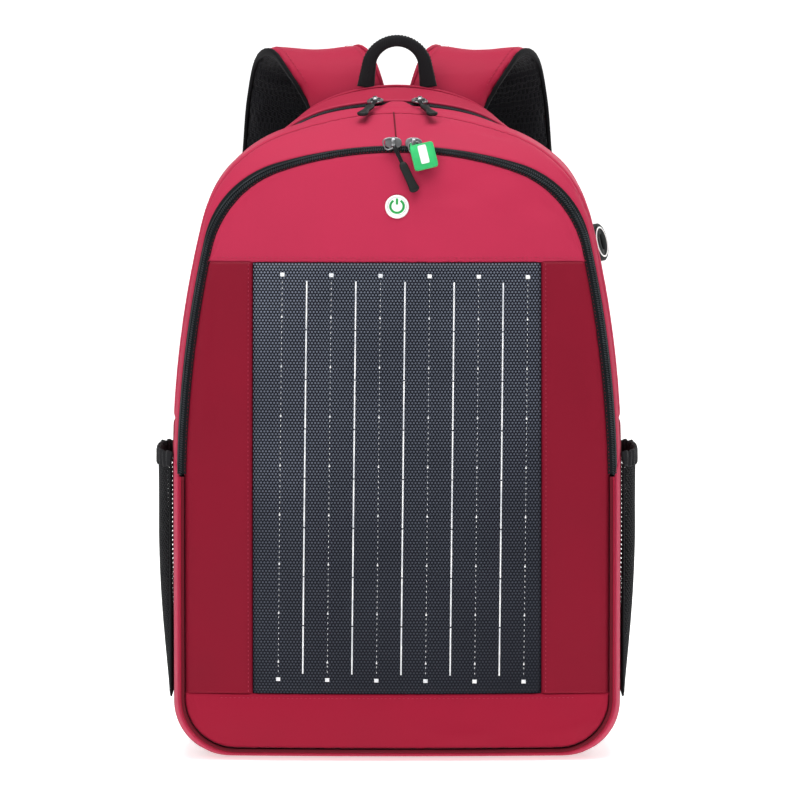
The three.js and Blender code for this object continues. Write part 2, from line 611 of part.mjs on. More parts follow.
// Middle of the right shoulder strap, from its root on the back panel over the arch to its lower end.
const strapPath = [[28, 76.5, 430], [35, 79.5, 455], [46, 88, 479], [60, 105, 491], [71, 124, 483],
  [77, 138, 455], [81, 143, 415], [88, 137, 360], [96, 119, 300], [98, 103, 245], [98, 93, 200]];
const webPath = [[98.6, 88, 168], [103, 85, 140], [110, 81, 100], [118, 76.2, 66]];
const ease = (t) => 1 - smooth(Math.max(0, Math.min(1, t)));
const strapWidth = (t) =>
  lerp(lerp(STRAP.root, STRAP.arch, ease(t / 0.24)), STRAP.end, ease((t - 0.36) / 0.64));
const curveOf = (points) => new THREE.CatmullRomCurve3(points.map((p) => new THREE.Vector3(...p)));
addPair("shoulder_strap", sweep(framesAlong(curveOf(strapPath), 20, X_AXIS),
  (t) => oblong(strapWidth(t), STRAP.half, 2)), cloth);
addPair("strap_webbing", sweep(framesAlong(curveOf(webPath), 6, X_AXIS), () => flatBar(12.5, 0.9)), webbing);
addPair("ladder_lock", ladderLock().rotateX(-0.14).translate(98.3, 90.4, 184), blackPlastic);
addPair("strap_tab", strapTab(), webbing);

// Ladder lock: a frame with two slots and a bar between them.
function ladderLock() {
  const frame = roundRect(34, 26, 3);
  for (const z of [-5.6, 5.6]) {
    const slot = new THREE.Path();
    slot.moveTo(-13, z - 3.4).lineTo(-13, z + 3.4).lineTo(13, z + 3.4).lineTo(13, z - 3.4);
    frame.holes.push(slot);
  }
  return slab(frame, 4, 2).rotateX(Math.PI / 2);
}

// A triangle of webbing, sewn into the seam beside the base, that holds the strap's tail.
function strapTab() {
  const outline = ringShape([[136, 20], [136, 60], [112, 63], [106, 52]]);
  return slab(outline, 2.4).rotateX(Math.PI / 2).translate(0, PAD_Y + 0.6 + 1.2, 0);
}

export default bag;
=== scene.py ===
# Solar backpack: the visual model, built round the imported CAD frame.
# Lengths in this script are millimetres in the frame's axes (+Z up, -Y out of the solar panel) and turn
# into metres where a mesh is made. The outlines and the shell below are the CAD's own, sampled finely.
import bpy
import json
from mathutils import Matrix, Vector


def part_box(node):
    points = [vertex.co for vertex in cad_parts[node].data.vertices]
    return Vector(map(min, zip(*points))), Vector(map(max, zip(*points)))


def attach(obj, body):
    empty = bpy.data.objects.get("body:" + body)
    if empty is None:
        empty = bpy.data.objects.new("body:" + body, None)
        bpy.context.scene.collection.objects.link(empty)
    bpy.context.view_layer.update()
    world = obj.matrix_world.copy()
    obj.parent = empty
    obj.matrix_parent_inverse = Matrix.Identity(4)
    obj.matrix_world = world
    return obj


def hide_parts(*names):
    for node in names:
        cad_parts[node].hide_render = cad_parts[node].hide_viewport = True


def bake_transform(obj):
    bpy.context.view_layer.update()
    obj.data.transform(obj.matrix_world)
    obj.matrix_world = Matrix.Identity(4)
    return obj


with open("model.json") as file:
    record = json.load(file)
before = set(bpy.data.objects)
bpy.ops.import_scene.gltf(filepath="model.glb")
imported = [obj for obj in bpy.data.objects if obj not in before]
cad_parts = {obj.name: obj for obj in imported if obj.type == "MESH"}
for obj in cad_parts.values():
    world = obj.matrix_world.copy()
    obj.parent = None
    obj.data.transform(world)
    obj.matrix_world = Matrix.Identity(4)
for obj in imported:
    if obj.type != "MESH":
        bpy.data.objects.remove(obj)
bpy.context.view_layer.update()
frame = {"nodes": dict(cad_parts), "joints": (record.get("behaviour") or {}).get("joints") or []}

import json
import math

import bpy
import bmesh
import numpy as np
from mathutils import Vector

MM = 0.001
BACK_Y = 62  # front face of the back panel
PAD_Y = BACK_Y + 7.4  # outer face of the back panel
TAPE = 4.2  # half of the front zip's visible width at the sides
MAIN_ZIP = (0.69, 0.755)  # shares of the depth between cover and back
SIDE_SEAM_V = 0.12  # where the strip beside the zip meets the side panel
BADGE = (0, 388)  # its middle on the cover
SIDES = (("right", 1), ("left", -1))  # each side and the sign of its x
BACK_V = 0.994  # where cloth ends at the back panel
SEAM_GAP = 0.003  # from a seam to the cloth beside it, in v
CLOTH_THICK = 1.2
WEBBING_WIDE = 25
PAD_SQUARE = 0.22  # power of the back pads' rounded outline
END_ROLLS = ((0, 0, 1.2, 4), (0, -1, 1.2, 4))  # how a panel's two ends turn in, see roll_edges
WINDOW = 101  # half width of the solar panel
CELLS = {"pitch": 34.4, "columns": 6, "rows": 8, "shift": 4.2, "tilt": math.radians(0.6)}


# ---------- outlines and surfaces ----------
class Outline:
    """A half outline: three arcs, a straight side, a corner and a flat bottom, at u = 0 to 6. A negative u is
    the left half. It has the same points as the CAD's outline of the same numbers."""

    def __init__(self, top, arcs, bottom, corner):
        self.arcs, self.bottom, self.corner = [], bottom, corner
        x, z, heading = 0.0, top, 0.0
        for radius, degrees in arcs:
            sweep = math.radians(degrees)
            cx, cz = x - radius * math.sin(heading), z - radius * math.cos(heading)
            self.arcs.append((cx, cz, radius, heading, sweep))
            heading += sweep
            x, z = cx + radius * math.sin(heading), cz + radius * math.cos(heading)
        self.side, self.side_top = x, z

    def at(self, u, inset=0.0):
        """x and z at u, moved inwards by inset. Both may be arrays."""
        u, inset = np.broadcast_arrays(np.asarray(u, float), np.asarray(inset, float))
        index = np.minimum(np.floor(np.abs(u)), 5)
        t = np.abs(u) - index
        x, z = np.zeros(u.shape), np.zeros(u.shape)
        for k, (cx, cz, radius, start, sweep) in enumerate(self.arcs):
            angle, here = start + sweep * t, index == k
            x = np.where(here, cx + (radius - inset) * np.sin(angle), x)
            z = np.where(here, cz + (radius - inset) * np.cos(angle), z)
        here = index == 3
        x = np.where(here, self.side - inset, x)
        z = np.where(here, self.side_top + (self.bottom + self.corner - self.side_top) * t, z)
        angle, here = math.pi / 2 * (1 + t), index == 4
        x = np.where(here, self.side - self.corner + (self.corner - inset) * np.sin(angle), x)
        z = np.where(here, self.bottom + self.corner + (self.corner - inset) * np.cos(angle), z)
        here = index == 5
        x = np.where(here, (self.side - self.corner) * (1 - t), x)
        z = np.where(here, self.bottom + inset, z)
        return np.where(u < 0, -x, x), z

    def u_at(self, height, inset=0.0):
        """The right side's u at a height above the bottom corner, by halving."""
        low, high = 0.0, 4.6
        for _ in range(40):
            middle = (low + high) / 2
            if self.at(middle, inset)[1] > height:
                low = middle
            else:
                high = middle
        return middle


FRONT = Outline(429, [(264, 19), (75, 59), (830, 12)], 4, 40)
BODY = Outline(458, [(227, 20.2), (94, 56), (726, 13.8)], 0, 40)
BACK = Outline(469.5, [(135, 27), (112, 48), (560, 15)], 0, 38)
ZIP_END_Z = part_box("front_zip_bag_tape")[0].z / MM  # where the front zip stops on both sides
ZIP_END = FRONT.u_at(ZIP_END_Z)
SEAM_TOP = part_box("cover_top_panel")[0].z / MM  # the seam above the solar panel
SEAM_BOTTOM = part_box("solar_film")[0].z / MM  # the seam below it


def lerp(a, b, t):
    return a + (b - a) * t


def bell(t):
    """1 at 0, falling smoothly to 0 at 1 and beyond."""
    return (1 + np.cos(np.pi * np.minimum(np.abs(t), 1))) / 2


def ease(t):
    return 1 - bell(np.clip(t, 0, 1))


def lean(z):
    return -76 + 0.00036 * np.maximum(0, z - 90) ** 2 + 0.006 * np.maximum(0, 40 - z) ** 2


def cover_y(x, z):
    r = np.hypot(x / 147, np.maximum(0, z - 300) / 130)
    return lean(z) - 8 * np.maximum(0, 1 - r * r)


def stack(x, y, z):
    return np.stack(np.broadcast_arrays(x, y, z), axis=-1).astype(float)


def cover(x, z):
    x, z = np.broadcast_arrays(np.asarray(x, float), np.asarray(z, float))
    return stack(x, cover_y(x, z), z)


def shoulder_drop(x, z):
    """How far the cloth behind the main zip sinks beside the yoke."""
    return 7 * np.exp(-((np.abs(x) - 92) / 24) ** 2) * ease((z - 380) / 30)


def shell(u, v):
    """The side of the bag, from the front zip (v = 0) to the back panel (v = 1)."""
    u, v = np.broadcast_arrays(np.asarray(u, float), np.asarray(v, float))
    top = bell(u / 2)
    front = np.maximum(0, 1 - v / lerp(0.2, 0.55, top)) ** 2
    back = (np.maximum(0, v - 0.7) / 0.3) ** 2
    middle = 1 - front - back
    fx, fz = FRONT.at(u)
    mx, mz = BODY.at(u)
    bx, bz = BACK.at(u)
    x = fx * front + mx * middle + bx * back
    z = fz * front + (mz + 25 * (v - 0.74) * top) * middle + bz * back
    return stack(x, lerp(cover_y(fx, fz), BACK_Y, v), z - shoulder_drop(x, z) * ease((v - 0.5) / 0.2))


def seam_v(u):
    """The seam between the front pocket's gusset and the main gusset."""
    return lerp(SIDE_SEAM_V, 0.5, bell(np.asarray(u) / 2))


def side_point(y, z):
    """The right side of the bag at depth y and height z. Both are arrays of one shape."""
    y, z = np.broadcast_arrays(np.asarray(y, float), np.asarray(z, float))
    low, high = np.full(y.shape, 0.5), np.full(y.shape, 4.6)
    for _ in range(34):
        u = (low + high) / 2
        front = cover_y(*FRONT.at(u))
        p = shell(u, (y - front) / (BACK_Y - front))
        above = p[..., 2] > z
        low, high = np.where(above, u, low), np.where(above, high, u)
    return p


# ---------- meshes ----------
def box_mm(node):
    """A CAD node's lowest and highest corner, in millimetres."""
    return (np.array(corner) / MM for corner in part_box(node))


def make_object(name, vertices, faces, material):
    """A smooth mesh object from points in millimetres."""
    mesh = bpy.data.meshes.new(name)
    mesh.from_pydata([tuple(p) for p in np.asarray(vertices, float) * MM], [], faces)
    mesh.validate()
    mesh.shade_smooth()
    mesh.materials.append(material)
    obj = bpy.data.objects.new(name, mesh)
    bpy.context.scene.collection.objects.link(obj)
    return obj


def unit(vectors):
    return vectors / np.linalg.norm(vectors, axis=-1, keepdims=True)


def grid_normals(points):
    du = np.gradient(points, axis=0)
    dv = np.gradient(points, axis=1)
    n = np.cross(du, dv)
    return n / np.maximum(np.linalg.norm(n, axis=-1, keepdims=True), 1e-9)


def run_lengths(points, axis):
    """Distance along the grid lines of one axis, in millimetres, from the middle of each line."""
    steps = np.linalg.norm(np.diff(points, axis=axis), axis=-1)
    total = np.cumsum(steps, axis=axis)
    zero = np.zeros_like(np.take(total, [0], axis=axis))
    along = np.concatenate([zero, total], axis=axis)
    middle = np.take(along, [along.shape[axis] // 2], axis=axis)
    return along - middle


def grid_object(name, points, material, flip=False):
    """A mesh over a grid of points. It stores how far each point lies along the cloth, for the weave."""
    n, m = points.shape[:2]
    index = np.arange(n * m).reshape(n, m)
    quads = np.stack([index[:-1, :-1], index[1:, :-1], index[1:, 1:], index[:-1, 1:]], axis=-1).reshape(-1, 4)
    if flip:
        quads = quads[:, ::-1]
    obj = make_object(name, points.reshape(-1, 3), quads.tolist(), material)
    store_flat(obj, stack(run_lengths(points, 0), run_lengths(points, 1), 0) * MM)
    return obj


def facing_normals(points, axis, sign=1):
    """A grid's normals, turned so that the middle one points to sign on an axis, and whether they were."""
    normals = grid_normals(points)
    middle = tuple(n // 2 for n in points.shape[:2])
    flip = bool(normals[middle][axis] * sign < 0)
    return normals * (-1 if flip else 1), flip


def store_flat(obj, values):
    attribute = obj.data.attributes.new("flat", "FLOAT_VECTOR", "POINT")
    attribute.data.foreach_set("vector", np.asarray(values, np.float32).ravel())


def solidify(obj, thickness, offset=-1.0):
    """Gives a sheet its thickness, in millimetres. Offset -1 grows it inwards."""
    modifier = obj.modifiers.new("thickness", "SOLIDIFY")
    modifier.thickness = thickness * MM
    modifier.offset = offset
    return obj


def join_objects(name, objects):
    """One object from several, with their modifiers applied."""
    depsgraph = bpy.context.evaluated_depsgraph_get()
    joined = bmesh.new()
    materials = []
    for obj in objects:
        mesh = bpy.data.meshes.new_from_object(obj.evaluated_get(depsgraph))
        mesh.transform(obj.matrix_world)
        start = len(joined.faces)
        joined.from_mesh(mesh)
        joined.faces.ensure_lookup_table()
        for face in joined.faces[start:]:
            material = mesh.materials[face.material_index] if mesh.materials else None
            if material not in materials:
                materials.append(material)
            face.material_index = materials.index(material)
        bpy.data.meshes.remove(mesh)
    mesh = bpy.data.meshes.new(name)
    joined.to_mesh(mesh)
    joined.free()
    for obj in objects:
        bpy.data.objects.remove(obj)
    for material in materials:
        mesh.materials.append(material)
    whole = bpy.data.objects.new(name, mesh)
    bpy.context.scene.collection.objects.link(whole)
    return whole


def ring_object(name, rings, material, closed=False):
    """A skin over rings of points. Its ends are capped, unless the last ring joins the first."""
    rings = np.asarray(rings, float)
    n, m = rings.shape[:2]
    index = np.arange(n * m).reshape(n, m)
    nxt = np.roll(index, -1, axis=1)
    corners = [index, nxt, np.roll(nxt, -1, axis=0), np.roll(index, -1, axis=0)]
    faces = np.stack(corners, axis=-1)[:n if closed else n - 1].reshape(-1, 4).tolist()
    if not closed:
        faces += [index[0, ::-1].tolist(), index[-1].tolist()]
    obj = make_object(name, rings.reshape(-1, 3), faces, material)
    fix_normals(obj)
    return obj


def roll_edges(points, normals, edges):
    """Turns the grid's edges in towards the seams. Edges gives (axis, end, depth, width) in millimetres."""
    moved = points.copy()
    for axis, end, depth, width in edges:
        distance = np.abs(run_lengths(points, axis) - np.take(run_lengths(points, axis), [end], axis=axis))
        share = np.maximum(0, 1 - distance / width)
        moved -= normals * (depth * share ** 2)[..., None]
    return moved


def ripple(points, scale, amount, seed):
    """A soft, repeatable unevenness: a few crossed waves whose lengths are near scale, in millimetres."""
    total = np.zeros(points.shape[:-1])
    for k in range(5):
        angle = 2.4 * k + seed
        direction = np.array([math.cos(angle), 0.6 * math.sin(1.7 * angle), math.sin(angle)])
        total += np.sin(points @ direction * (2 * math.pi / (scale * (0.75 + 0.17 * k))) + 1.3 * k * seed)
    return total * amount / 5


def sweep_points(path, side, up, section):
    """A grid of points: section (k, 2) carried along path (n, 3) by the side and up directions."""
    section = np.broadcast_to(section, (len(path),) + np.asarray(section).shape[-2:])
    return (path[:, None] + section[..., :1] * side[:, None] + section[..., 1:] * up[:, None])


def tube_object(name, path, side, up, section, material, closed=False):
    """A bar along a path with a ring-shaped section."""
    rings = sweep_points(path, side, up, section)
    obj = ring_object(name, rings, material, closed)
    around = run_lengths(np.concatenate([rings, rings[:, :1]], axis=1), 1)[:, :-1]
    store_flat(obj, stack(around, run_lengths(rings, 0), 0) * MM)
    return obj


def fix_normals(obj):
    mesh = bmesh.new()
    mesh.from_mesh(obj.data)
    bmesh.ops.recalc_face_normals(mesh, faces=mesh.faces)
    mesh.to_mesh(obj.data)
    mesh.free()


def directions(path, across, closed=False):
    """Tangent, side and up at each point of a path. Side stays as near to across as it can."""
    if closed:
        tangent = np.roll(path, -1, axis=0) - np.roll(path, 1, axis=0)
    else:
        tangent = np.gradient(path, axis=0)
    tangent = unit(tangent)
    across = np.broadcast_to(np.asarray(across, float), path.shape)
    side = unit(across - tangent * np.sum(across * tangent, axis=-1, keepdims=True))
    return tangent, side, np.cross(side, tangent)


def ring_section(w, h, count=12, power=1.0):
    """Points round an oval of half width w and half height h. A power under 1 squares it off."""
    a = np.arange(count) * 2 * math.pi / count
    c, s = np.cos(a), np.sin(a)
    return np.stack([w * np.sign(c) * np.abs(c) ** power, h * np.sign(s) * np.abs(s) ** power], axis=-1)


def distance_along(path):
    return np.concatenate([[0], np.cumsum(np.linalg.norm(np.diff(path, axis=0), axis=-1))])


def read_at(distances, run, values):
    return np.stack([np.interp(distances, run, values[:, k]) for k in range(3)], axis=-1)


def resample(path, step, *others):
    """Points every step millimetres along a path, and the other values at those places."""
    run = distance_along(path)
    distances = np.linspace(0, run[-1], max(2, int(round(run[-1] / step)) + 1))
    return [read_at(distances, run, values) for values in (path,) + others]


def scatter(name, bead, places, material):
    """Copies of one small mesh, bead (points, faces), at places (origin, x, y, z axes)."""
    points, faces = bead
    vertices = [in_frame(points, at) for at in places]
    all_faces = [[i + k * len(points) for i in face] for k in range(len(places)) for face in faces]
    return make_object(name, np.concatenate(vertices), all_faces, material)


def pebble(length, width, height, rings=4, count=6):
    """A small rounded bead, long in x: (points, faces)."""
    points, faces = [[-length / 2, 0, 0]], []
    for i in range(1, rings):
        a = math.pi * i / rings
        for k in range(count):
            b = 2 * math.pi * k / count
            r = math.sin(a) ** 0.6 / 2
            points.append([-length / 2 * math.cos(a), width * r * math.cos(b), height * r * math.sin(b)])
    points.append([length / 2, 0, 0])
    last = len(points) - 1
    for k in range(count):
        n = (k + 1) % count
        faces.append([0, 1 + n, 1 + k])
        faces.append([last, 1 + (rings - 2) * count + k, 1 + (rings - 2) * count + n])
        for i in range(rings - 2):
            a, b = 1 + i * count, 1 + (i + 1) * count
            faces.append([a + k, a + n, b + n, b + k])
    return np.array(points), faces


def stitch_row(name, path, normal, pitch, length, width, material, lift=0.1):
    """A row of stitches along a path on a surface with the given normals."""
    spots, normals = resample(path, pitch, normal)
    tangents = unit(np.gradient(spots, axis=0))
    places = [(p + lift * z, t, np.cross(z, t), z) for p, t, z in zip(spots, tangents, unit(normals))]
    return scatter(name, pebble(length, width, width * 0.8), places, material)


# ---------- materials ----------
class Shader:
    """A material under construction, with short names for the nodes that it uses."""

    def __init__(self, name):
        self.material = bpy.data.materials.new(name)
        self.material.use_nodes = True
        self.tree = self.material.node_tree
        self.bsdf = self.tree.nodes["Principled BSDF"]

    def node(self, kind, settings=None, **inputs):
        made = self.tree.nodes.new("ShaderNode" + kind)
        for key, value in (settings or {}).items():
            setattr(made, key, value)
        for key, value in inputs.items():
            self.feed(made.inputs[key.replace("_", " ")], value)
        return made

    def feed(self, socket, value):
        if isinstance(value, bpy.types.NodeSocket):
            self.tree.links.new(value, socket)
        else:
            socket.default_value = value

    def wired(self, kind, settings, *values):
        """The first output of a node fed in the order of its sockets."""
        made = self.node(kind, settings)
        for socket, value in zip(made.inputs, values):
            self.feed(socket, value)
        return made.outputs[0]

    def math(self, operation, a, b=0.0):
        return self.wired("Math", {"operation": operation}, a, b)

    def times(self, a, b):
        return self.math("MULTIPLY", a, b)

    def plus(self, a, b):
        return self.math("ADD", a, b)

    def mix(self, factor, a, b):
        return self.wired("MixRGB", None, factor, a, b)

    def ramp(self, value, low, high, to_low=0.0, to_high=1.0):
        return self.wired("MapRange", None, value, low, high, to_low, to_high)

    def flat(self, scale=1.0):
        """Place along the cloth, in millimetres over scale: x, y and the unscaled vector."""
        attribute = self.node("Attribute", {"attribute_name": "flat"})
        split = self.node("SeparateXYZ", Vector=attribute.outputs["Vector"])
        factor = 1 / (MM * scale)
        x, y = (self.times(split.outputs[k], factor) for k in (0, 1))
        return x, y, attribute.outputs["Vector"]

    def noise(self, vector, scale, detail=3.0, roughness=0.55):
        made = self.node("TexNoise", Vector=vector, Scale=scale, Detail=detail, Roughness=roughness)
        return made.outputs["Fac"]

    def place(self):
        return self.node("TexCoord").outputs["Object"]

    def bump(self, height, strength, distance, under=None):
        made = self.node("Bump", Height=height, Strength=strength, Distance=distance)
        if under:
            self.feed(made.inputs["Normal"], under)
        self.feed(self.bsdf.inputs["Normal"], made.outputs[0])
        return made.outputs[0]

    def set(self, **values):
        for key, value in values.items():
            self.feed(self.bsdf.inputs[key.replace("_", " ")], value)
        return self


def rgb(r, g, b):
    return (r, g, b, 1.0)


def woven(name, colour, dark, roughness=0.6, thread=0.55, sheen=0.25, depth=0.05, sheen_tint=None, specular=0.3):
    """Plain woven cloth: over-and-under threads, soft unevenness of colour, and a sheen."""
    shader = Shader(name)
    x, y, vector = shader.flat(thread)
    wave_x = shader.math("SINE", shader.times(x, math.pi))
    wave_y = shader.math("SINE", shader.times(y, math.pi))
    weave = shader.times(wave_x, wave_y)
    slub = shader.noise(vector, 900.0, 2.0)
    cloud = shader.noise(shader.place(), 14.0, 4.0)
    shade = shader.plus(shader.times(weave, 0.12), shader.times(cloud, 0.5))
    shade = shader.plus(shade, shader.times(slub, 0.2))
    shader.set(Base_Color=shader.mix(shader.ramp(shade, 0.15, 0.75), dark, colour),
               Roughness=shader.ramp(cloud, 0.3, 0.7, roughness - 0.06, roughness + 0.06),
               Sheen_Weight=sheen, Sheen_Roughness=0.45, Specular_IOR_Level=specular)
    if sheen_tint:
        shader.set(Sheen_Tint=sheen_tint)
    creases = shader.bump(shader.noise(shader.place(), 55.0, 3.0), 0.25, 0.0006)
    shader.bump(weave, 0.5, depth * MM, creases)
    return shader.material


def air_mesh(name, colour, hole_shade, pitch=3.2, depth=0.5):
    """Spacer mesh: staggered round holes in a knitted face, the holes drawn darker as painted shade."""
    shader = Shader(name)
    x, y, vector = shader.flat(pitch)
    distance = staggered_distance(shader, x, y)
    pit = shader.ramp(distance, 0.16, 0.34)
    fuzz = shader.noise(vector, 1500.0, 2.0)
    tint = shader.mix(shader.times(pit, shader.ramp(fuzz, 0.2, 0.8, 0.5, 1.0)), hole_shade, colour)
    shader.set(Base_Color=tint, Roughness=0.85, Sheen_Weight=0.08, Sheen_Roughness=0.5,
               Specular_IOR_Level=0.15)
    shader.bump(pit, 0.9, depth * MM, shader.bump(fuzz, 0.3, 0.0002))
    return shader.material


def staggered_distance(shader, x, y, aspect=1.0):
    """Distance to the nearest point of a lattice with every other row shifted by half, in pitches."""
    found = []
    for shift in (0.0, 0.5):
        dx = shader.math("SUBTRACT", shader.math("FRACT", shader.plus(x, shift)), 0.5)
        dy = shader.math("SUBTRACT", shader.math("FRACT", shader.plus(shader.times(y, aspect), shift)), 0.5)
        dy = shader.math("DIVIDE", dy, aspect)
        found.append(shader.math("SQRT", shader.plus(shader.times(dx, dx), shader.times(dy, dy))))
    return shader.math("MINIMUM", *found)


def webbing_cloth(name, colour, dark, rib=1.6):
    """Heavy webbing: ribs across its length with a fine diagonal twill."""
    shader = Shader(name)
    x, y, vector = shader.flat(rib)
    rib_wave = shader.math("SINE", shader.times(y, 2 * math.pi))
    twill = shader.math("SINE", shader.times(shader.plus(x, y), 4 * math.pi))
    height = shader.plus(shader.times(rib_wave, 0.5), shader.times(twill, 0.35))
    fuzz = shader.noise(vector, 1200.0, 2.0)
    blend = shader.ramp(shader.plus(height, fuzz), -0.4, 1.4)
    shader.set(Base_Color=shader.mix(blend, dark, colour), Roughness=0.72, Sheen_Weight=0.08,
               Sheen_Roughness=0.4, Specular_IOR_Level=0.2)
    shader.bump(height, 0.6, 0.00018, shader.bump(fuzz, 0.25, 0.0002))
    return shader.material


def moulded(name, colour, roughness, grain=0.2, lighter_edge=None):
    """Moulded rubber or plastic: fine grain, and sharp edges drawn a little lighter in patches."""
    shader = Shader(name)
    fine = shader.noise(shader.place(), 2600.0, 2.0)
    broad = shader.noise(shader.place(), 90.0, 3.0)
    lighter_edge = lighter_edge or tuple(min(1.0, c * 1.6 + 0.01) for c in colour[:3]) + (1.0,)
    rim = shader.ramp(shader.node("NewGeometry").outputs["Pointiness"], 0.51, 0.58, 0.0, 0.8)
    shade = shader.mix(shader.times(rim, shader.ramp(broad, 0.35, 0.6)), colour, lighter_edge)
    shader.set(Base_Color=shade, Roughness=shader.ramp(broad, 0.3, 0.7, roughness - 0.05, roughness + 0.07),
               Specular_IOR_Level=0.25)
    shader.bump(fine, grain, 0.0002)
    return shader.material


def plated(name, colour, roughness):
    """Plated zinc: brushed lightly, duller in patches."""
    shader = Shader(name)
    patch = shader.noise(shader.place(), 260.0, 3.0)
    dull = rgb(*(c * 0.75 for c in colour[:3]))
    shader.set(Base_Color=shader.mix(patch, colour, dull), Metallic=1.0,
               Roughness=shader.ramp(patch, 0.3, 0.7, roughness, roughness + 0.15))
    shader.bump(shader.noise(shader.place(), 2200.0, 1.0), 0.15, 0.0001)
    return shader.material


# Lit, half-shaded and shaded copies of one red cloth: the brighter red on faces turned up and the darker reds on
# faces turned forward and sideways are painted light and shade.
LIT_RED = rgb(0.50, 0.026, 0.076)  # cloth of the top of the bag, the yoke and the straps
HALF_SHADED_RED = rgb(0.345, 0.0065, 0.032)  # cloth of the base band and of the strip round the cover
SHADED_RED = rgb(0.235, 0.0038, 0.0205)  # cloth beside the solar panel and on the bag's sides


def red_cloth(name, colour):
    dark = rgb(*(0.82 * c for c in colour[:3]))
    return woven(name, colour, dark, roughness=0.6, sheen=0.07, sheen_tint=rgb(1.0, 0.4, 0.5), specular=0.13)


# Cloths of the lit, half-shaded and shaded reds: the difference between them is painted light and shade.
LIT_CLOTH = red_cloth("lit_red_cloth", LIT_RED)
HALF_SHADED_CLOTH = red_cloth("half_shaded_red_cloth", HALF_SHADED_RED)
SHADED_CLOTH = red_cloth("shaded_red_cloth", SHADED_RED)
# A very dark red for painted shade: the dart's crease and the shadow line along the cover's lower edge.
SHADE_LINE_CLOTH = red_cloth("shade_line_red_cloth", rgb(0.13, 0.004, 0.013))
# A darker copy of the same red for the straps, the yoke and the back's binding: painted shade.
STRAP_SHADED_CLOTH = red_cloth("strap_shaded_red_cloth", rgb(0.42, 0.017, 0.055))
RED_THREAD = red_cloth("red_thread", rgb(0.42, 0.035, 0.075))
# The lit copy of the red again, for the yoke's piping: a painted highlight along its edge.
LIT_BINDING = red_cloth("lit_binding", rgb(0.50, 0.035, 0.085))
LINING = woven("lining", rgb(0.020, 0.021, 0.026), rgb(0.012, 0.012, 0.015), roughness=0.7, thread=0.7)
BLACK_CLOTH = woven("black_cloth", rgb(0.006, 0.006, 0.008), rgb(0.003, 0.003, 0.004), roughness=0.75,
                    thread=0.6, sheen=0.03, specular=0.12)
ZIP_TAPE = woven("zip_tape", rgb(0.007, 0.009, 0.012), rgb(0.003, 0.004, 0.005), roughness=0.7, thread=0.8,
                 sheen=0.03, depth=0.1, specular=0.12)
ZIP_TEETH = moulded("zip_teeth", rgb(0.017, 0.021, 0.025), 0.5, grain=0.1)
AIR_MESH = air_mesh("air_mesh", rgb(0.008, 0.008, 0.011), rgb(0.002, 0.002, 0.003))
NET = webbing_cloth("pocket_net", rgb(0.016, 0.017, 0.019), rgb(0.007, 0.007, 0.009), rib=0.5)
WEBBING = webbing_cloth("webbing", rgb(0.008, 0.008, 0.010), rgb(0.003, 0.003, 0.004))
ELASTIC = webbing_cloth("elastic", rgb(0.012, 0.012, 0.014), rgb(0.005, 0.005, 0.007), rib=1.1)
RUBBER = moulded("black_rubber", rgb(0.005, 0.007, 0.007), 0.5, grain=0.35)
GREEN = moulded("green_rubber", rgb(0.030, 0.43, 0.13), 0.45, grain=0.15)
WHITE_INK = moulded("white_ink", rgb(0.85, 0.86, 0.84), 0.45, grain=0.1)
GREEN_INK = moulded("green_ink", rgb(0.015, 0.305, 0.061), 0.4, grain=0.1)
BLACK_PLASTIC = moulded("black_plastic", rgb(0.012, 0.013, 0.015), 0.4, grain=0.3)
METAL = plated("plated_zinc", rgb(0.30, 0.30, 0.31), 0.28)
# The film's dark ground, and the light colour of its dots: a painted glint.
FILM_DARK = rgb(0.0035, 0.0042, 0.0085)
FILM_GLINT = rgb(0.19, 0.215, 0.275)


def solar_film():
    """Textured clear film over dark cells: staggered lens dots drawn light as painted glints, brighter at the
    upper left.
    """
    shader = Shader("solar_film")
    x, y, vector = shader.flat(2.3)
    dots = shader.ramp(staggered_distance(shader, x, y, 0.577), 0.40, 0.20)
    # Painted highlight: the glints grow brighter towards the upper left.
    spot = shader.node("SeparateXYZ", Vector=shader.place())
    drift = shader.times(spot.outputs[0], 0.35)
    painted_highlight = shader.ramp(shader.math("SUBTRACT", spot.outputs[2], drift), 0.0, 0.39, 0.03, 1.0)
    patchy = shader.ramp(shader.noise(shader.place(), 9.0, 2.0), 0.3, 0.7, 0.6, 1.0)
    cell = shader.times(dots, shader.times(painted_highlight, patchy))
    shader.set(Base_Color=shader.mix(cell, FILM_DARK, FILM_GLINT),
               Roughness=0.42, Specular_IOR_Level=0.12)
    shader.bump(dots, 0.45, 0.00025)
    return shader.material


SOLAR_FILM = solar_film()
BUSBAR = moulded("busbar", rgb(0.66, 0.68, 0.72), 0.4, grain=0.1)


# ---------- putting pieces in place ----------
def place(obj, body, slot=None, *nodes):
    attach(obj, body)
    if nodes:
        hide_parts(*nodes)
    return obj


def swept(name, path, across, section, material, body, slot, *nodes, closed=False):
    """A bar along a path, put in place. Its side direction stays as near to across as it can."""
    tangent, side, up = directions(path, across, closed)
    return place(tube_object(name, path, side, up, section, material, closed), body, slot, *nodes)


def sewn(name, points, body, nodes, material, flip, rolls=(), wave=0.35, normals=None):
    """A sewn panel: a grid of cloth whose edges turn into the seams, with its lining inside."""
    if normals is None:
        normals = grid_normals(points) * (-1 if flip else 1)
    # The cloth lies slack in the middle and flat beside its seams.
    slack = np.ones(points.shape[:2])
    for axis in (0, 1):
        run = run_lengths(points, axis)
        whole = np.take(run, [-1], axis=axis)
        slack = slack * ease(np.minimum(run, whole - run) / np.minimum(18, 0.45 * whole + 0.01))
    points = points + normals * (slack * ripple(points, 60, wave, len(name)))[..., None]
    return place(lined(name, roll_edges(points, normals, rolls), material, flip), body, "shell_cloth", *nodes)


def lined(name, points, material, flip):
    """A grid of cloth with its thickness and the lining on its inner side."""
    obj = grid_object(name, points, material, flip)
    solidify(obj, CLOTH_THICK).modifiers["thickness"].material_offset = 1
    obj.data.materials.append(LINING)
    return obj


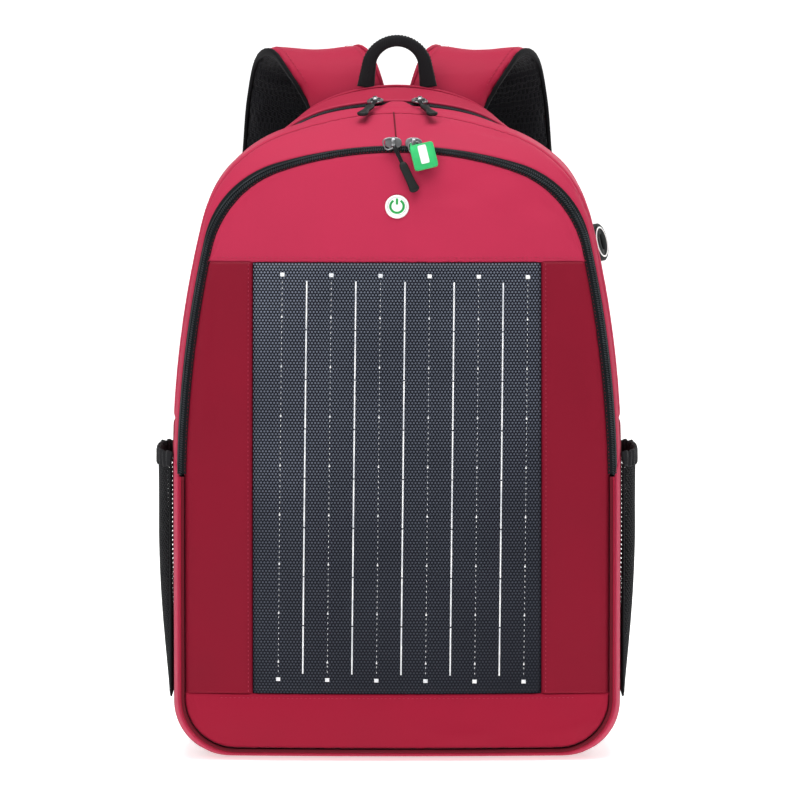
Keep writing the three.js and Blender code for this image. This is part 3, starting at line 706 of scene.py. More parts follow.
def pucker(points, normals, axis, end, pitch=9.0, depth=0.5, width=9.0):
    """Small gathers that a line of stitches pulls into the cloth beside a seam."""
    along = run_lengths(points, 1 - axis)
    across = run_lengths(points, axis)
    distance = np.abs(across - np.take(across, [end], axis=axis))
    wave = np.sin(along * 2 * math.pi / pitch + 2.6 * np.sin(along * 2 * math.pi / (4.3 * pitch)))
    wave = 0.5 * wave * (0.6 + 0.4 * np.sin(along * 2 * math.pi / (7.7 * pitch)))
    return points + normals * (depth * wave * np.exp(-distance / width))[..., None]


def shell_grid(u, v0, v1, columns):
    """Shell points for an array of u and, for each, columns of v from v0 to v1."""
    share = np.linspace(0, 1, columns)[None]
    v0, v1 = np.broadcast_to(v0, u.shape)[:, None], np.broadcast_to(v1, u.shape)[:, None]
    return shell(u[:, None], v0 + (v1 - v0) * share)


def round_bottom(start, count):
    """Outline places from the left side under the bag to the right side."""
    half = count // 2
    return np.concatenate([np.linspace(-start, -6, half), np.linspace(6, start, half)[1:]])


# ---------- the shell of the bag ----------
PANEL_TOP, PANEL_BOTTOM = 2.8, 4.7  # outline places where the side panel starts and ends


def front_gusset():
    u = np.linspace(-ZIP_END, ZIP_END, 300)
    points = shell_grid(u, 0.034, seam_v(u) - SEAM_GAP, 26)
    normals, flip = facing_normals(points, 2)
    points = pucker(points, normals, 1, -1, depth=0.35)
    # The dart at the middle, behind the zip: a thin dark red tube, painted shade in its crease.
    share = np.linspace(0.3, 1, 24)
    dart = shell(-0.03 * share, seam_v(0) * share)
    tangent, side, up = directions(dart, (1, 0, 0))
    crease = tube_object("gusset_dart", dart + up * 0.2 * np.sign(up[12, 2]), side, up,
                         ring_section(0.55, 0.45, 8), SHADE_LINE_CLOTH)
    place(crease, "bag", "shell_cloth")
    sewn("front_gusset_cloth", points, "bag", ("front_gusset_left", "front_gusset_right"), LIT_CLOTH, flip,
         ((1, 0, 0.8, 3), (1, -1, 0.7, 3)), 1.8)


def main_gusset():
    u = np.linspace(-PANEL_TOP, PANEL_TOP, 300)
    points = shell_grid(u, seam_v(u) + SEAM_GAP, MAIN_ZIP[0] - 0.002, 22)
    # A small lip stands up between the two sliders.
    points[..., 2] += 3.2 * np.exp(-(points[..., 0] / 9) ** 4) * ease(np.linspace(-1.5, 1, 22))
    normals, flip = facing_normals(points, 2)
    points = pucker(points, normals, 1, 0, depth=0.35)
    sewn("main_gusset_cloth", points, "bag", ("main_gusset",), LIT_CLOTH, flip,
         ((1, 0, 0.7, 3), (1, -1, 0.9, 3)) + END_ROLLS, 1.8)


def yoke():
    u = np.linspace(-PANEL_TOP, PANEL_TOP, 260)
    points = shell_grid(u, MAIN_ZIP[1] + SEAM_GAP, BACK_V, 14)
    # The yoke takes the darker strap copy of the red: painted shade on its steep front face.
    sewn("yoke_cloth", points, "bag", ("rear_gusset",), STRAP_SHADED_CLOTH, facing_normals(points, 2)[1],
         ((1, 0, 1.0, 3), (1, -1, 1.4, 4)) + END_ROLLS)
    edge = shell(u, MAIN_ZIP[1] + 0.004)
    tangent, side, up = directions(edge, (0, 1, 0))
    up *= np.sign(up[:, 2].mean())
    # The piping is in the lit red: a painted highlight on the yoke's front edge.
    piping = tube_object("yoke_piping", edge + up * 0.3, side, up, ring_section(1.1, 1.1, 10), LIT_BINDING)
    place(piping, "bag", "shell_cloth")


def side_panels():
    u = np.linspace(PANEL_TOP + 0.004, PANEL_BOTTOM, 120)
    points = shell_grid(u, SIDE_SEAM_V + 0.006, BACK_V, 60)
    # The panel hollows between its seams, as slack cloth does, and creases above the base.
    share_u = np.linspace(0, 1, 120)[:, None]
    share_v = np.linspace(0, 1, 60)[None]
    dip = 3.2 * np.sin(math.pi * share_u) ** 0.8 * np.sin(math.pi * share_v) ** 0.8
    dip = dip + 0.9 * np.sin(9 * share_v + 4 * share_u) * np.sin(math.pi * share_v) * share_u ** 3
    right = points - np.array([1.0, 0, 0]) * dip[..., None]
    # Both side panels take the shaded copy of the red: painted shade on faces turned sideways.
    for side, sign in SIDES:
        mirrored = right * np.array([sign, 1, 1])
        sewn(f"side_panel_cloth_{side}", mirrored, "bag", (f"side_panel_{side}",), SHADED_CLOTH,
             facing_normals(mirrored, 0, sign)[1], END_ROLLS + ((1, 0, 1.2, 4), (1, -1, 1.4, 4)), 0.5)


def base_and_strip():
    points = shell_grid(round_bottom(PANEL_BOTTOM + 0.01, 160), SIDE_SEAM_V + 0.006, BACK_V, 50)
    flip = facing_normals(points, 2, -1)[1]
    points[..., 2] = np.maximum(points[..., 2], 0)
    sewn("base_cloth", points, "bag", ("base_panel",), HALF_SHADED_CLOTH, flip, END_ROLLS, 0.0)
    # The strip in front of it stretches between the bag and the opening cover.
    points = shell_grid(round_bottom(ZIP_END + 0.004, 420), 0.012, SIDE_SEAM_V - 0.002, 12)
    normals, flip = facing_normals(points, 2, -1)
    points = pucker(points, normals, 1, -1, pitch=6, depth=0.2, width=4)
    points = roll_edges(points, normals, ((1, 0, 0.7, 2.5), (1, -1, 1.0, 3), (0, 0, 0.8, 3), (0, -1, 0.8, 3)))
    strip = join_objects("front_gusset_strip", [lined("cover_gusset_strip", points, LIT_CLOTH, flip)])
    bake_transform(strip)
    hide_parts("front_gusset_lower")


# ---------- zips ----------
def zip_ribs(name, path, up, side, body, width=2.3, pitch=1.6, sign=1):
    """Half a closed coil zip: slanting ribs on one side of the middle line."""
    spots, ups, sides = resample(path, pitch, up, side)
    places = []
    for p, z, s in zip(spots, unit(ups), unit(sides)):
        slant = unit(s * sign + 0.45 * np.cross(s, z))
        places.append((p + s * sign * width * 0.42 + z * 0.25, slant, np.cross(z, slant), z))
    return place(scatter(name, pebble(width, pitch * 0.62, 1.1), places, ZIP_TEETH), body, "webbing")


def tape_inset(u):
    """How far the front zip reaches over the cover: less over the top than down the sides."""
    return lerp(2.4, TAPE, ease((np.abs(u) - 0.7) / 1.1))


def front_zip():
    u = np.linspace(-ZIP_END, ZIP_END, 420)
    # The tape on the bag.
    bag_side = shell_grid(u, 0.002, 0.036, 5)
    normals, flip = facing_normals(bag_side, 2)
    tape = grid_object("front_zip_tape_bag", bag_side - normals * 0.35, ZIP_TAPE, flip)
    place(solidify(tape, 0.8), "bag", "webbing", "front_zip_bag_tape")
    middle = bag_side[:, 0]
    zip_ribs("front_zip_ribs_bag", middle, normals[:, 1], bag_side[:, 3] - middle, "bag")
    # The tape on the cover, and its stitches.
    inset = lerp(0.2, tape_inset(u[:, None]) + 0.9, np.linspace(0, 1, 7)[None])
    cover_side = cover(*FRONT.at(u[:, None], inset))
    normals, flip = facing_normals(cover_side, 1, -1)
    tape = grid_object("front_zip_tape_cover", cover_side - normals * 0.35, ZIP_TAPE, flip)
    place(solidify(tape, 0.8), "front_cover", "webbing", "front_zip_cover_tape")
    middle = cover_side[:, 0]
    zip_ribs("front_zip_ribs_cover", middle, normals[:, 1], cover_side[:, 4] - middle, "front_cover")
    stitches = stitch_row("front_zip_stitches", cover_side[:, 5], normals[:, 5], 2.6, 1.2, 0.4, SHADED_CLOTH,
                          0.3)
    place(stitches, "front_cover", "shell_cloth")


def main_zip():
    u = np.linspace(-2.75, 2.75, 380)
    points = shell_grid(u, *MAIN_ZIP, 9)
    normals, flip = facing_normals(points, 2)
    tape = grid_object("main_zip_cloth", points - normals * 0.9, ZIP_TAPE, flip)
    place(solidify(tape, 0.8), "bag", "webbing", "main_zip_tape")
    middle, across = points[:, 4] - normals[:, 4] * 0.7, points[:, 8] - points[:, 0]
    for side, sign in (("front", -1), ("back", 1)):
        zip_ribs(f"main_zip_ribs_{side}", middle, normals[:, 4], across, "bag", 2.9, 1.5, sign)


# ---------- the front cover ----------
def cover_normal(x, z):
    return unit(np.cross(cover(x + 1, z) - cover(x - 1, z), cover(x, z + 1) - cover(x, z - 1)))


def cover_cloth(name, points, nodes, seams, material):
    """A sewn panel of the cover. Seams gives (axis, end, pitch, depth) of the gathers beside them."""
    normals = cover_normal(points[..., 0], points[..., 2])
    flip = facing_normals(points, 1, -1)[1]
    for axis, end, pitch, depth in seams:
        points = pucker(points, normals, axis, end, pitch, depth)
    rolls = tuple((axis, end, 1.1, 3.0) for axis, end, _, _ in seams)
    sewn(name, points, "front_cover", nodes, material, flip, rolls, 2.2, normals)


def stitched(name, x, z):
    """A row of stitches on the cover through points x, z."""
    row = stitch_row(name, cover(x, z), cover_normal(x, z), 3.1, 1.6, 0.5, RED_THREAD, 0.35)
    return place(row, "front_cover", "shell_cloth")


def cover_part(u, seam_z, rows):
    """Points x, z of the cover between a seam at one height and the zip along places u."""
    u = u[:, None]
    share = np.linspace(0, 1, rows)[None]
    x_edge, z_edge = FRONT.at(u, tape_inset(u) + 0.3)
    x_seam = np.linspace(x_edge[0, 0], x_edge[-1, 0], len(u))[:, None]
    return lerp(x_seam, x_edge, share), lerp(seam_z, z_edge, share)


def front_cover():
    # Upper panel, let in under the badge, which leaves room for the button to go down.
    u_top = FRONT.u_at(SEAM_TOP)
    x, z = cover_part(np.linspace(-u_top, u_top, 220), SEAM_TOP, 60)
    dent = 3.2 * np.clip((8 - np.hypot(x - BADGE[0], z - BADGE[1])) / 1.5, 0, 1)
    cover_cloth("cover_top_cloth", cover(x, z) + stack(0, dent, 0), ("cover_top_panel",),
                ((1, 0, 11, 0.5), (1, -1, 8, 0.4)), LIT_CLOTH)
    # The band below the solar panel, in the half-shaded copy of the red: painted shade.
    x, z = cover_part(round_bottom(FRONT.u_at(SEAM_BOTTOM), 221), SEAM_BOTTOM, 22)
    cover_cloth("cover_bottom_cloth", cover(x, z), ("cover_bottom_band",),
                ((1, 0, 10, 0.35), (1, -1, 7, 0.5)), HALF_SHADED_CLOTH)
    # The strips beside it, in the shaded copy of the red: painted shade.
    z = np.linspace(SEAM_BOTTOM, SEAM_TOP, 160)[:, None]
    edge = np.array([FRONT.at(FRONT.u_at(h), TAPE + 0.3)[0] for h in z[:, 0]])[:, None]
    share = np.linspace(0, 1, 16)[None]
    for side, sign in SIDES:
        points = cover(sign * lerp(WINDOW + 0.2, edge, share), z + 0 * share)
        cover_cloth(f"cover_strip_cloth_{side}", points, (f"cover_strip_{side}",),
                    ((1, -1, 9, 0.4), (1, 0, 14, 0.15)), SHADED_CLOTH)
    # Topstitching round the window.
    z = np.linspace(SEAM_BOTTOM + 2, SEAM_TOP - 2, 60)
    for side, sign in SIDES:
        stitched(f"window_stitches_{side}", np.full(60, sign * (WINDOW + 3.2)), z)
    for end, past, height in (("top", 24, SEAM_TOP + 3.0), ("bottom", 22, SEAM_BOTTOM - 3.0)):
        x = np.linspace(-WINDOW - past, WINDOW + past, 80)
        stitched(f"window_stitches_{end}", x, np.full(80, height))


def cover_piping():
    u = round_bottom(ZIP_END + 0.01, 300)
    path = cover(*FRONT.at(u, 2.9))
    tangent, side, up = directions(path, (0, 1, 0))
    # A dark red cord along the cover's edge: a painted shadow line between the cover and the strip.
    piping = tube_object("cover_edge_shadow_cord", path, side, up, ring_section(1.2, 1.2, 10), SHADE_LINE_CLOTH)
    place(piping, "front_cover", "dark_cloth", "cover_piping")
    outer = cover(*FRONT.at(u, 1.2))
    binding = tube_object("cover_edge_binding", outer, side, up, ring_section(0.8, 0.8, 8), HALF_SHADED_CLOTH)
    place(binding, "front_cover", "shell_cloth")


def solar_panel():
    half = WINDOW - 0.2
    x, z = np.meshgrid(np.linspace(-half, half, 70), np.linspace(SEAM_BOTTOM + 0.2, SEAM_TOP - 0.2, 100),
                       indexing="ij")
    normals, flip = facing_normals(cover(x, z), 1, -1)
    rolls = [(axis, end, 0.7, 3) for axis in (0, 1) for end in (0, -1)]
    points = roll_edges(cover(x, z) + normals * 0.2, normals, rolls)
    film = solidify(grid_object("solar_laminate", points, SOLAR_FILM, flip), 1.6)
    place(film, "front_cover", "solar_film", "solar_film", "solar_cells")
    backing = grid_object("solar_backing_cloth", cover(x, z) - normals * 1.9, LINING, flip)
    place(solidify(backing, 0.5), "front_cover", "lining", "solar_backing")
    solar_marks()


def solar_marks():
    """The cells' silver lines: a bar between columns, a dotted line down each column, and end pads."""
    pitch, rows, columns = CELLS["pitch"], CELLS["rows"], CELLS["columns"]
    middle = (SEAM_TOP + SEAM_BOTTOM) / 2
    c, s = math.cos(CELLS["tilt"]), math.sin(CELLS["tilt"])

    def mark(x, z, w, h):
        """A flat patch round x, z, in the cells' own tilted axes."""
        steps = max(2, int(h / 6) + 1)
        px, pz = np.meshgrid(x + np.array([-w / 2, w / 2]), z + np.linspace(-h / 2, h / 2, steps),
                             indexing="ij")
        tx = CELLS["shift"] + px * c + pz * s
        tz = middle - px * s + pz * c
        return cover(np.clip(tx, -WINDOW + 2, WINDOW - 2), np.clip(tz, SEAM_BOTTOM + 2, SEAM_TOP - 2))

    patches = []
    reach = middle - SEAM_BOTTOM - 14
    row_z = [pitch * (r - (rows - 1) / 2) for r in range(rows)]
    for k in range(1, columns):
        x = pitch * (k - columns / 2)
        for z in row_z:
            patches.append(mark(x, z, 0.95, pitch - 0.9))
    for k in range(columns):
        x = pitch * (k + 0.5 - columns / 2)
        for z in row_z:
            for i in range(9):
                patches.append(mark(x, z - pitch / 2 + (i + 0.5) * pitch / 9, 0.3, 1.2))
            patches.append(mark(x, z - pitch / 2 + 8.6, 1.0, 1.2))
        for end in (-1, 1):
            patches.append(mark(x, end * (reach + 4.5), 3.0, 2.6))
    vertices, faces = [], []
    for patch in patches:
        start = sum(len(v) for v in vertices)
        m = patch.shape[1]
        vertices.append(patch.reshape(-1, 3))
        faces += [[start + j, start + m + j, start + m + j + 1, start + j + 1] for j in range(m - 1)]
    points = np.concatenate(vertices) + np.array([0, -0.42, 0])
    marks = make_object("solar_busbars", points, faces, BUSBAR)
    solidify(marks, 0.12, 0)
    place(marks, "front_cover", "solar_cell")


# ---------- badge and port ----------
def frame_at(origin, along, out):
    """X along the cloth, Y out of it and Z the way that a pull hangs."""
    x = unit(np.array(along, float))
    z = unit(np.cross(x, out))
    return np.array(origin, float), x, np.cross(z, x), z


def in_frame(points, at):
    """Points of a frame (origin, x, y, z) in the bag's own axes."""
    origin, x, y, z = at
    return origin + points[:, :1] * x + points[:, 1:2] * y + points[:, 2:] * z


def oval(w, h, height, count=48):
    """A ring of half sizes w and h at a height out of a frame's x, z plane."""
    a = np.arange(count) * 2 * math.pi / count
    return stack(w * np.cos(a), height, h * np.sin(a))


def lathe(name, profile, at, material):
    """A turned piece: profile of (radius, height out of the cloth). What coincides on its axis is welded."""
    obj = ring_object(name, [in_frame(oval(r, r, height), at) for r, height in profile], material)
    mesh = bmesh.new()
    mesh.from_mesh(obj.data)
    bmesh.ops.remove_doubles(mesh, verts=mesh.verts, dist=1e-6)
    bmesh.ops.recalc_face_normals(mesh, faces=mesh.faces)
    mesh.to_mesh(obj.data)
    mesh.free()
    return obj


def soften(node, material, width):
    """Gives a hard CAD node its material and rounded edges. It keeps its mesh: this only adds modifiers."""
    obj = frame["nodes"][node]
    obj.data.materials.clear()
    obj.data.materials.append(material)
    obj.modifiers.new("weld", "WELD").merge_threshold = 1e-6
    bevel = obj.modifiers.new("edges", "BEVEL")
    bevel.width, bevel.segments, bevel.limit_method = width * MM, 2, "ANGLE"
    bevel.angle_limit = math.radians(35)
    bevel.harden_normals = False


def badge():
    at = frame_at(cover(*BADGE), (1, 0, 0), cover_normal(*BADGE))
    rim = [(6.6, -5), (6.6, 1.2), (6.8, 1.5), (7.5, 1.6), (8.1, 1.4), (8.4, 0.8), (8.4, -7), (0.01, -7),
           (0.01, -5)]
    place(lathe("badge_housing", rim, at, WHITE_INK), "front_cover", "white_plastic", "power_switch_housing")
    button = [(0.01, 1.6), (3, 1.6), (5.9, 1.6), (6.25, 1.5), (6.35, 1.2), (6.35, -1.2), (0.01, -1.2)]
    place(lathe("badge_button", button, at, WHITE_INK), "power_button", "white_plastic", "power_button")
    # The standby sign: an open ring and a bar.
    a = np.linspace(math.radians(32), math.radians(328), 40)
    ring = stack(4.7 * np.sin(a), 1.62, -4.7 * np.cos(a))
    line = stack(0, 1.62, np.linspace(-5.6, -1.2, 6))
    for name, path in (("standby_ring", ring), ("standby_bar", line)):
        swept(name, in_frame(path, at), at[2], ring_section(0.14, 0.85, 8), GREEN_INK, "power_button",
              "green_rubber")


def port():
    low, high = box_mm("cable_port")
    y, z = (low[1] + high[1]) / 2, (low[2] + high[2]) / 2
    p = side_point(y, z)
    out = unit(np.cross(side_point(y + 1, z) - side_point(y - 1, z),
                        side_point(y, z + 1) - side_point(y, z - 1)))
    # The patch turns towards the front.
    out = unit(out * np.sign(out[0]) + np.array([0, -0.65, 0]))
    at = frame_at(p + out * 2.2, np.array([0, 1, 0]) - out * out[1], out)
    at = at[:3] + (at[3] if at[3][2] > 0 else -at[3],)
    rings = []
    for scale, height in ((1, -4.5), (1, 1.3), (0.94, 2.1), (0.84, 2.5),
                          (0.42, 2.7), (0.20, 2.5), (0.16, 1.9), (0.16, -4.5)):
        half = 13.5 * scale if scale > 0.3 else 6.5
        rings.append(in_frame(oval(9 * scale, half, height), at))
    place(ring_object("port_patch", rings, RUBBER, closed=True), "bag", "rubber", "cable_port")
    path = in_frame(oval(6.6, 10.4, 2.58, 72), at)
    swept("port_ring", path, at[2], ring_section(0.3, 0.6, 8), WHITE_INK, "bag", "white_plastic", closed=True)


# ---------- sliders and pulls ----------
def joint(name):
    return next(j for j in frame["joints"] if j["name"] == name)


def slab(name, outline, thick, at, material, round_by=0.6, lift=0.0):
    """A flat piece in the x, z plane of a frame, with rounded edges. The outline is convex."""
    outline = np.asarray(outline, float)
    centre = outline.mean(axis=0)
    reach = np.linalg.norm(outline - centre, axis=-1, keepdims=True)
    rings = []
    for angle in np.linspace(-90, 90, 9):
        a = math.radians(angle)
        inset = round_by * (1 - math.cos(a))
        ring = centre + (outline - centre) * (1 - inset / reach)
        height = math.copysign(thick / 2 - round_by, a) + round_by * math.sin(a) if angle else 0
        rings.append(in_frame(stack(ring[:, 0], height + lift, ring[:, 1]), at))
    return ring_object(name, rings, material)


def squared(w, h, x=0.0, z=0.0, power=0.45, count=40):
    """A rounded oblong outline."""
    return ring_section(w / 2, h / 2, count, power) + np.array([x, z])


def bar(name, points, section, at, material, closed=False, across=(0, 1, 0)):
    """A rod through points of a frame. Across, in that frame, is the side direction."""
    path = in_frame(np.asarray(points, float), at)
    across = in_frame(np.array([across], float), (np.zeros(3),) + at[1:])[0]
    tangent, side, up = directions(path, across, closed)
    return tube_object(name, path, side, up, section, material, closed)


def wire_loop(w, z0, z1, count=40):
    outline = squared(w, z1 - z0, 0, (z0 + z1) / 2, 0.6, count)
    return np.stack([outline[:, 0], np.zeros(count), outline[:, 1]], axis=-1)


def slider(name, at, body):
    """A slider's top plate, pinched at its middle, with the bridge that holds the pull."""
    x = np.linspace(0, 2 * math.pi, 40, endpoint=False)
    pinch = 1 - 0.16 * np.cos(x) ** 4
    outline = np.stack([6 * np.cos(x), 4 * np.sign(np.sin(x)) * np.abs(np.sin(x)) ** 0.6 * pinch], axis=-1)
    plate = slab(name + "_plate", outline, 1.8, at, METAL, 0.7, lift=-2.2)
    a = np.linspace(0, math.pi, 15)
    arch = np.stack([np.zeros(15), -1.6 + 2.5 * np.sin(a) ** 0.7, -3.1 * np.cos(a)], axis=-1)
    bridge = bar(name + "_bridge", arch, ring_section(1.5, 0.5, 12, 0.7), at, METAL, across=(1, 0, 0))
    return place(join_objects(name, [plate, bridge]), body, "slider_metal", name.replace("_body", ""))


def turned(at, tilt, lean_by=0.0, reach=0.0):
    """A frame tilted out of the cloth by one angle, then leaned sideways about a point on its z axis."""
    origin, x, y, z = at
    t, b = math.radians(tilt), math.radians(lean_by)
    z, y = z * math.cos(t) + y * math.sin(t), y * math.cos(t) - z * math.sin(t)
    origin = origin + z * reach
    return origin, x * math.cos(b) - z * math.sin(b), y, x * math.sin(b) + z * math.cos(b)


def grip_loft(name, stations, at, material):
    """A flat rubber tongue along z: stations of (z, half width, half thickness)."""
    z, w, h = np.array(stations, float).T
    fine = np.linspace(z[0], z[-1], 30)
    sections = np.stack([ring_section(a, b, 20, 0.75) for a, b in
                         zip(np.interp(fine, z, w), np.interp(fine, z, h))])
    path = in_frame(stack(0, 0, fine), at)
    side, up = np.broadcast_to(at[1], path.shape), np.broadcast_to(at[2], path.shape)
    return tube_object(name, path, side, up, sections, material)


def cord_pull(name, at, neck, length, knob, body):
    """A doubled cord through the link, and the rubber grip moulded on it."""
    cords, section = [], ring_section(0.75, 0.75, 8)
    for k, x in enumerate((-0.75, 0.75)):
        points = [(x * 0.9, 0.2, -1.5), (x, 1.1, 0.2), (x, 0.4, 3), (x * 0.8, 0, neck + 3)]
        smooth = catmull(np.array(points), 16)
        cords.append(bar(f"{name}_cord{k}", smooth, section, at, ELASTIC, across=(1, 0, 0)))
    loop = [(-0.7, 0.2, -1.5), (-0.45, -0.3, -1.9), (0, -0.4, -2.0), (0.45, -0.3, -1.9), (0.7, 0.2, -1.5)]
    cords.append(bar(f"{name}_bight", loop, section, at, ELASTIC, across=(0, 0, 1)))
    place(join_objects(f"{name}_cord", cords), body, "webbing")
    stations = [(neck - 1.2, 1.6, 1.2), (neck, 2.6, 1.5), (neck + 2, 3.0, 1.6),
                (lerp(neck, length, 0.55), 3.0 - 0.5 * knob, 1.6), (length - 4.5, 3.3 + 0.4 * knob, 1.6),
                (length - 2, 3.7 + 0.5 * knob, 1.6), (length - 0.7, 3.0, 1.4), (length, 1.4, 0.9)]
    place(grip_loft(f"{name}_rubber", stations, at, RUBBER), body, "rubber", name)


def link(name, at, body, node, far):
    loop = bar(name, wire_loop(8, -0.1, far), ring_section(0.55, 0.55, 8), at, METAL, closed=True)
    place(loop, body, "slider_metal", node)


def pulls():
    for side in ("left", "right"):
        swing = joint(f"front_pull_{side}_swing")
        out = joint(f"front_slider_{side}_travel")["axis"]
        at = frame_at(np.array(swing["pos_m"]) / MM, -np.array(swing["axis"]), out)
        at = (at[0] - 3 * at[3],) + at[1:]
        slider(f"front_slider_{side}_body", at, f"front_slider_{side}")
        pull = f"front_pull_{side}"
        link(f"front_pull_ring_{side}", turned(at, 4, -70 if side == "left" else 10), pull,
             f"front_pull_link_{side}", 7)
        if side == "left":
            at = (at[0] + 1.5 * at[1],) + at[1:]
            cord_pull("front_pull_grip_left", turned(at, 4, 24, 5), 12, 34, 0, pull)
        else:
            green_tag(turned(at, 4, 16, 2.5), pull)
    for side, sign in (("left", -1), ("right", 1)):
        swing = joint(f"main_pull_{side}_swing")
        at = frame_at(np.array(swing["pos_m"]) / MM, -np.array(swing["axis"]), (sign * 0.064, -0.296, 0.953))
        slider(f"main_slider_{side}_body", at, f"main_slider_{side}")
        link(f"main_pull_ring_{side}", turned(at, 3), f"main_pull_{side}", f"main_pull_link_{side}", 11)
        cord_pull(f"main_pull_grip_{side}", turned(at, 3, 20 * sign, 11), 9, 30, 1, f"main_pull_{side}")


def green_tag(at, body):
    eye = bar("tag_eye", wire_loop(3.2, -1.7, 2.4, 20), ring_section(0.7, 0.9, 8), at, GREEN, closed=True)
    plate = slab("tag_plate", squared(17, 18.6, 5, 10, 0.2), 3.4, at, GREEN, 0.7, lift=4)
    place(join_objects("green_tag", [eye, plate]), body, "green_rubber", "front_pull_tag_right")
    strip = slab("tag_strip", squared(6, 13.5, 5, 9, 0.2), 0.5, at, WHITE_INK, 0.1, lift=5.8)
    place(strip, body, "white_plastic")


# ---------- side pockets ----------
POCKET = {"y0": -54, "y1": 44, "wide": 98, "z0": 45, "z1": 206, "bulge": 8.5}


def pocket_place(a, b):
    """A point on the bag's side at shares a and b of the pocket's depth and height."""
    return side_point(lerp(POCKET["y0"], POCKET["y1"], a), lerp(POCKET["z0"], POCKET["z1"], b))


def pocket_point(a, b):
    bulge = POCKET["bulge"] * (1 - (2 * a - 1) ** 4) * np.sin(math.pi / 2 * np.minimum(1, 1.4 * b))
    return pocket_place(a, b) + stack(1.8 + bulge, 0, 0)


def pockets():
    columns, rows = 60, 98
    i, j = np.meshgrid(np.arange(columns + 1), np.arange(rows + 1), indexing="ij")
    a, b = i / columns, j / rows
    sag = 0.8 * np.sin(2 * math.pi * a * 2.2) * np.sin(math.pi * b) ** 0.7
    right = pocket_point(a, b) + stack(sag, 0, 0)
    # The net's threads run along the sides of diamonds, each two rows high.
    faces = []
    for x in range(1, columns):
        for y in range(0, rows - 1):
            if (x + y) % 2 == 0:
                k = x * (rows + 1) + y
                faces.append([k, k + rows + 2, k + 2, k - rows])
    for side, sign in SIDES:
        mirror = np.array([sign, 1, 1])
        net = make_object(f"pocket_net_{side}", right.reshape(-1, 3) * mirror, faces, NET)
        store_flat(net, stack(a * POCKET["wide"], b * (POCKET["z1"] - POCKET["z0"]), 0) * MM)
        wire = net.modifiers.new("net", "WIREFRAME")
        wire.thickness, wire.use_even_offset, wire.use_boundary = 1.5 * MM, False, True
        place(net, "bag", "pocket_mesh", f"side_pocket_{side}")
        pocket_edges(side, mirror)


def pocket_edges(side, mirror):
    """The gathered elastic at the mouth, and the tape that sews the net down round its other sides."""
    a = np.linspace(-0.01, 1.01, 150)
    mouth = pocket_point(a, np.full(150, 1.0) + 0.031)
    gather = np.sin(a * POCKET["wide"] * 2 * math.pi / 5.5 + 1.5 * np.sin(a * 23))
    mouth[:, 0] += 0.5 + 0.7 * gather
    mouth[:, 2] += 0.5 * np.sin(a * POCKET["wide"] * 2 * math.pi / 7.7)
    sections = np.stack([ring_section(5.4 + 0.35 * g, 1.0 + 0.18 * g, 14, 0.7) for g in gather])
    swept(f"pocket_elastic_{side}", mouth * mirror, (0, 0, 1), sections, ELASTIC, "bag", "webbing",
          f"pocket_binding_{side}")
    border = [(0, b) for b in np.linspace(1.0, 0.02, 40)] + [(x, 0) for x in np.linspace(0.02, 0.98, 30)]
    border += [(1, b) for b in np.linspace(0.02, 1.0, 40)]
    path = (pocket_place(*np.array(border).T) + np.array([1.3, 0, 0])) * mirror
    swept(f"pocket_tape_{side}", path, (mirror[0], 0, 0), ring_section(1.0, 3.0, 12, 0.7), BLACK_CLOTH, "bag",
          "dark_cloth")


# ---------- curves shared with the CAD ----------
def catmull(points, count):
    """A centripetal Catmull-Rom curve through points, sampled evenly by length."""
    points = np.asarray(points, float)
    ends = [2 * points[0] - points[1]], [2 * points[-1] - points[-2]]
    p = np.concatenate([ends[0], points, ends[1]])
    pieces = []
    for k in range(len(points) - 1):
        q = p[k:k + 4]
        gaps = np.sqrt(np.linalg.norm(np.diff(q, axis=0), axis=-1))
        t0, t1, t2, t3 = np.concatenate([[0], np.cumsum(gaps)])
        t = np.linspace(t1, t2, 24, endpoint=k == len(points) - 2)[:, None]
        a1 = (t1 - t) / (t1 - t0) * q[0] + (t - t0) / (t1 - t0) * q[1]
        a2 = (t2 - t) / (t2 - t1) * q[1] + (t - t1) / (t2 - t1) * q[2]
        a3 = (t3 - t) / (t3 - t2) * q[2] + (t - t2) / (t3 - t2) * q[3]
        b1 = (t2 - t) / (t2 - t0) * a1 + (t - t0) / (t2 - t0) * a2
        b2 = (t3 - t) / (t3 - t1) * a2 + (t - t1) / (t3 - t1) * a3
        pieces.append((t2 - t) / (t2 - t1) * b1 + (t - t1) / (t2 - t1) * b2)
    line = np.concatenate(pieces)
    run = distance_along(line)
    return read_at(np.linspace(0, run[-1], count), run, line)


# ---------- soft padding ----------
def apply_modifiers(obj):
    depsgraph = bpy.context.evaluated_depsgraph_get()
    mesh = bpy.data.meshes.new_from_object(obj.evaluated_get(depsgraph))
    obj.modifiers.clear()
    obj.data = mesh


def coordinates(mesh):
    values = np.zeros(len(mesh.vertices) * 3)
    mesh.vertices.foreach_get("co", values)
    return values.reshape(-1, 3)


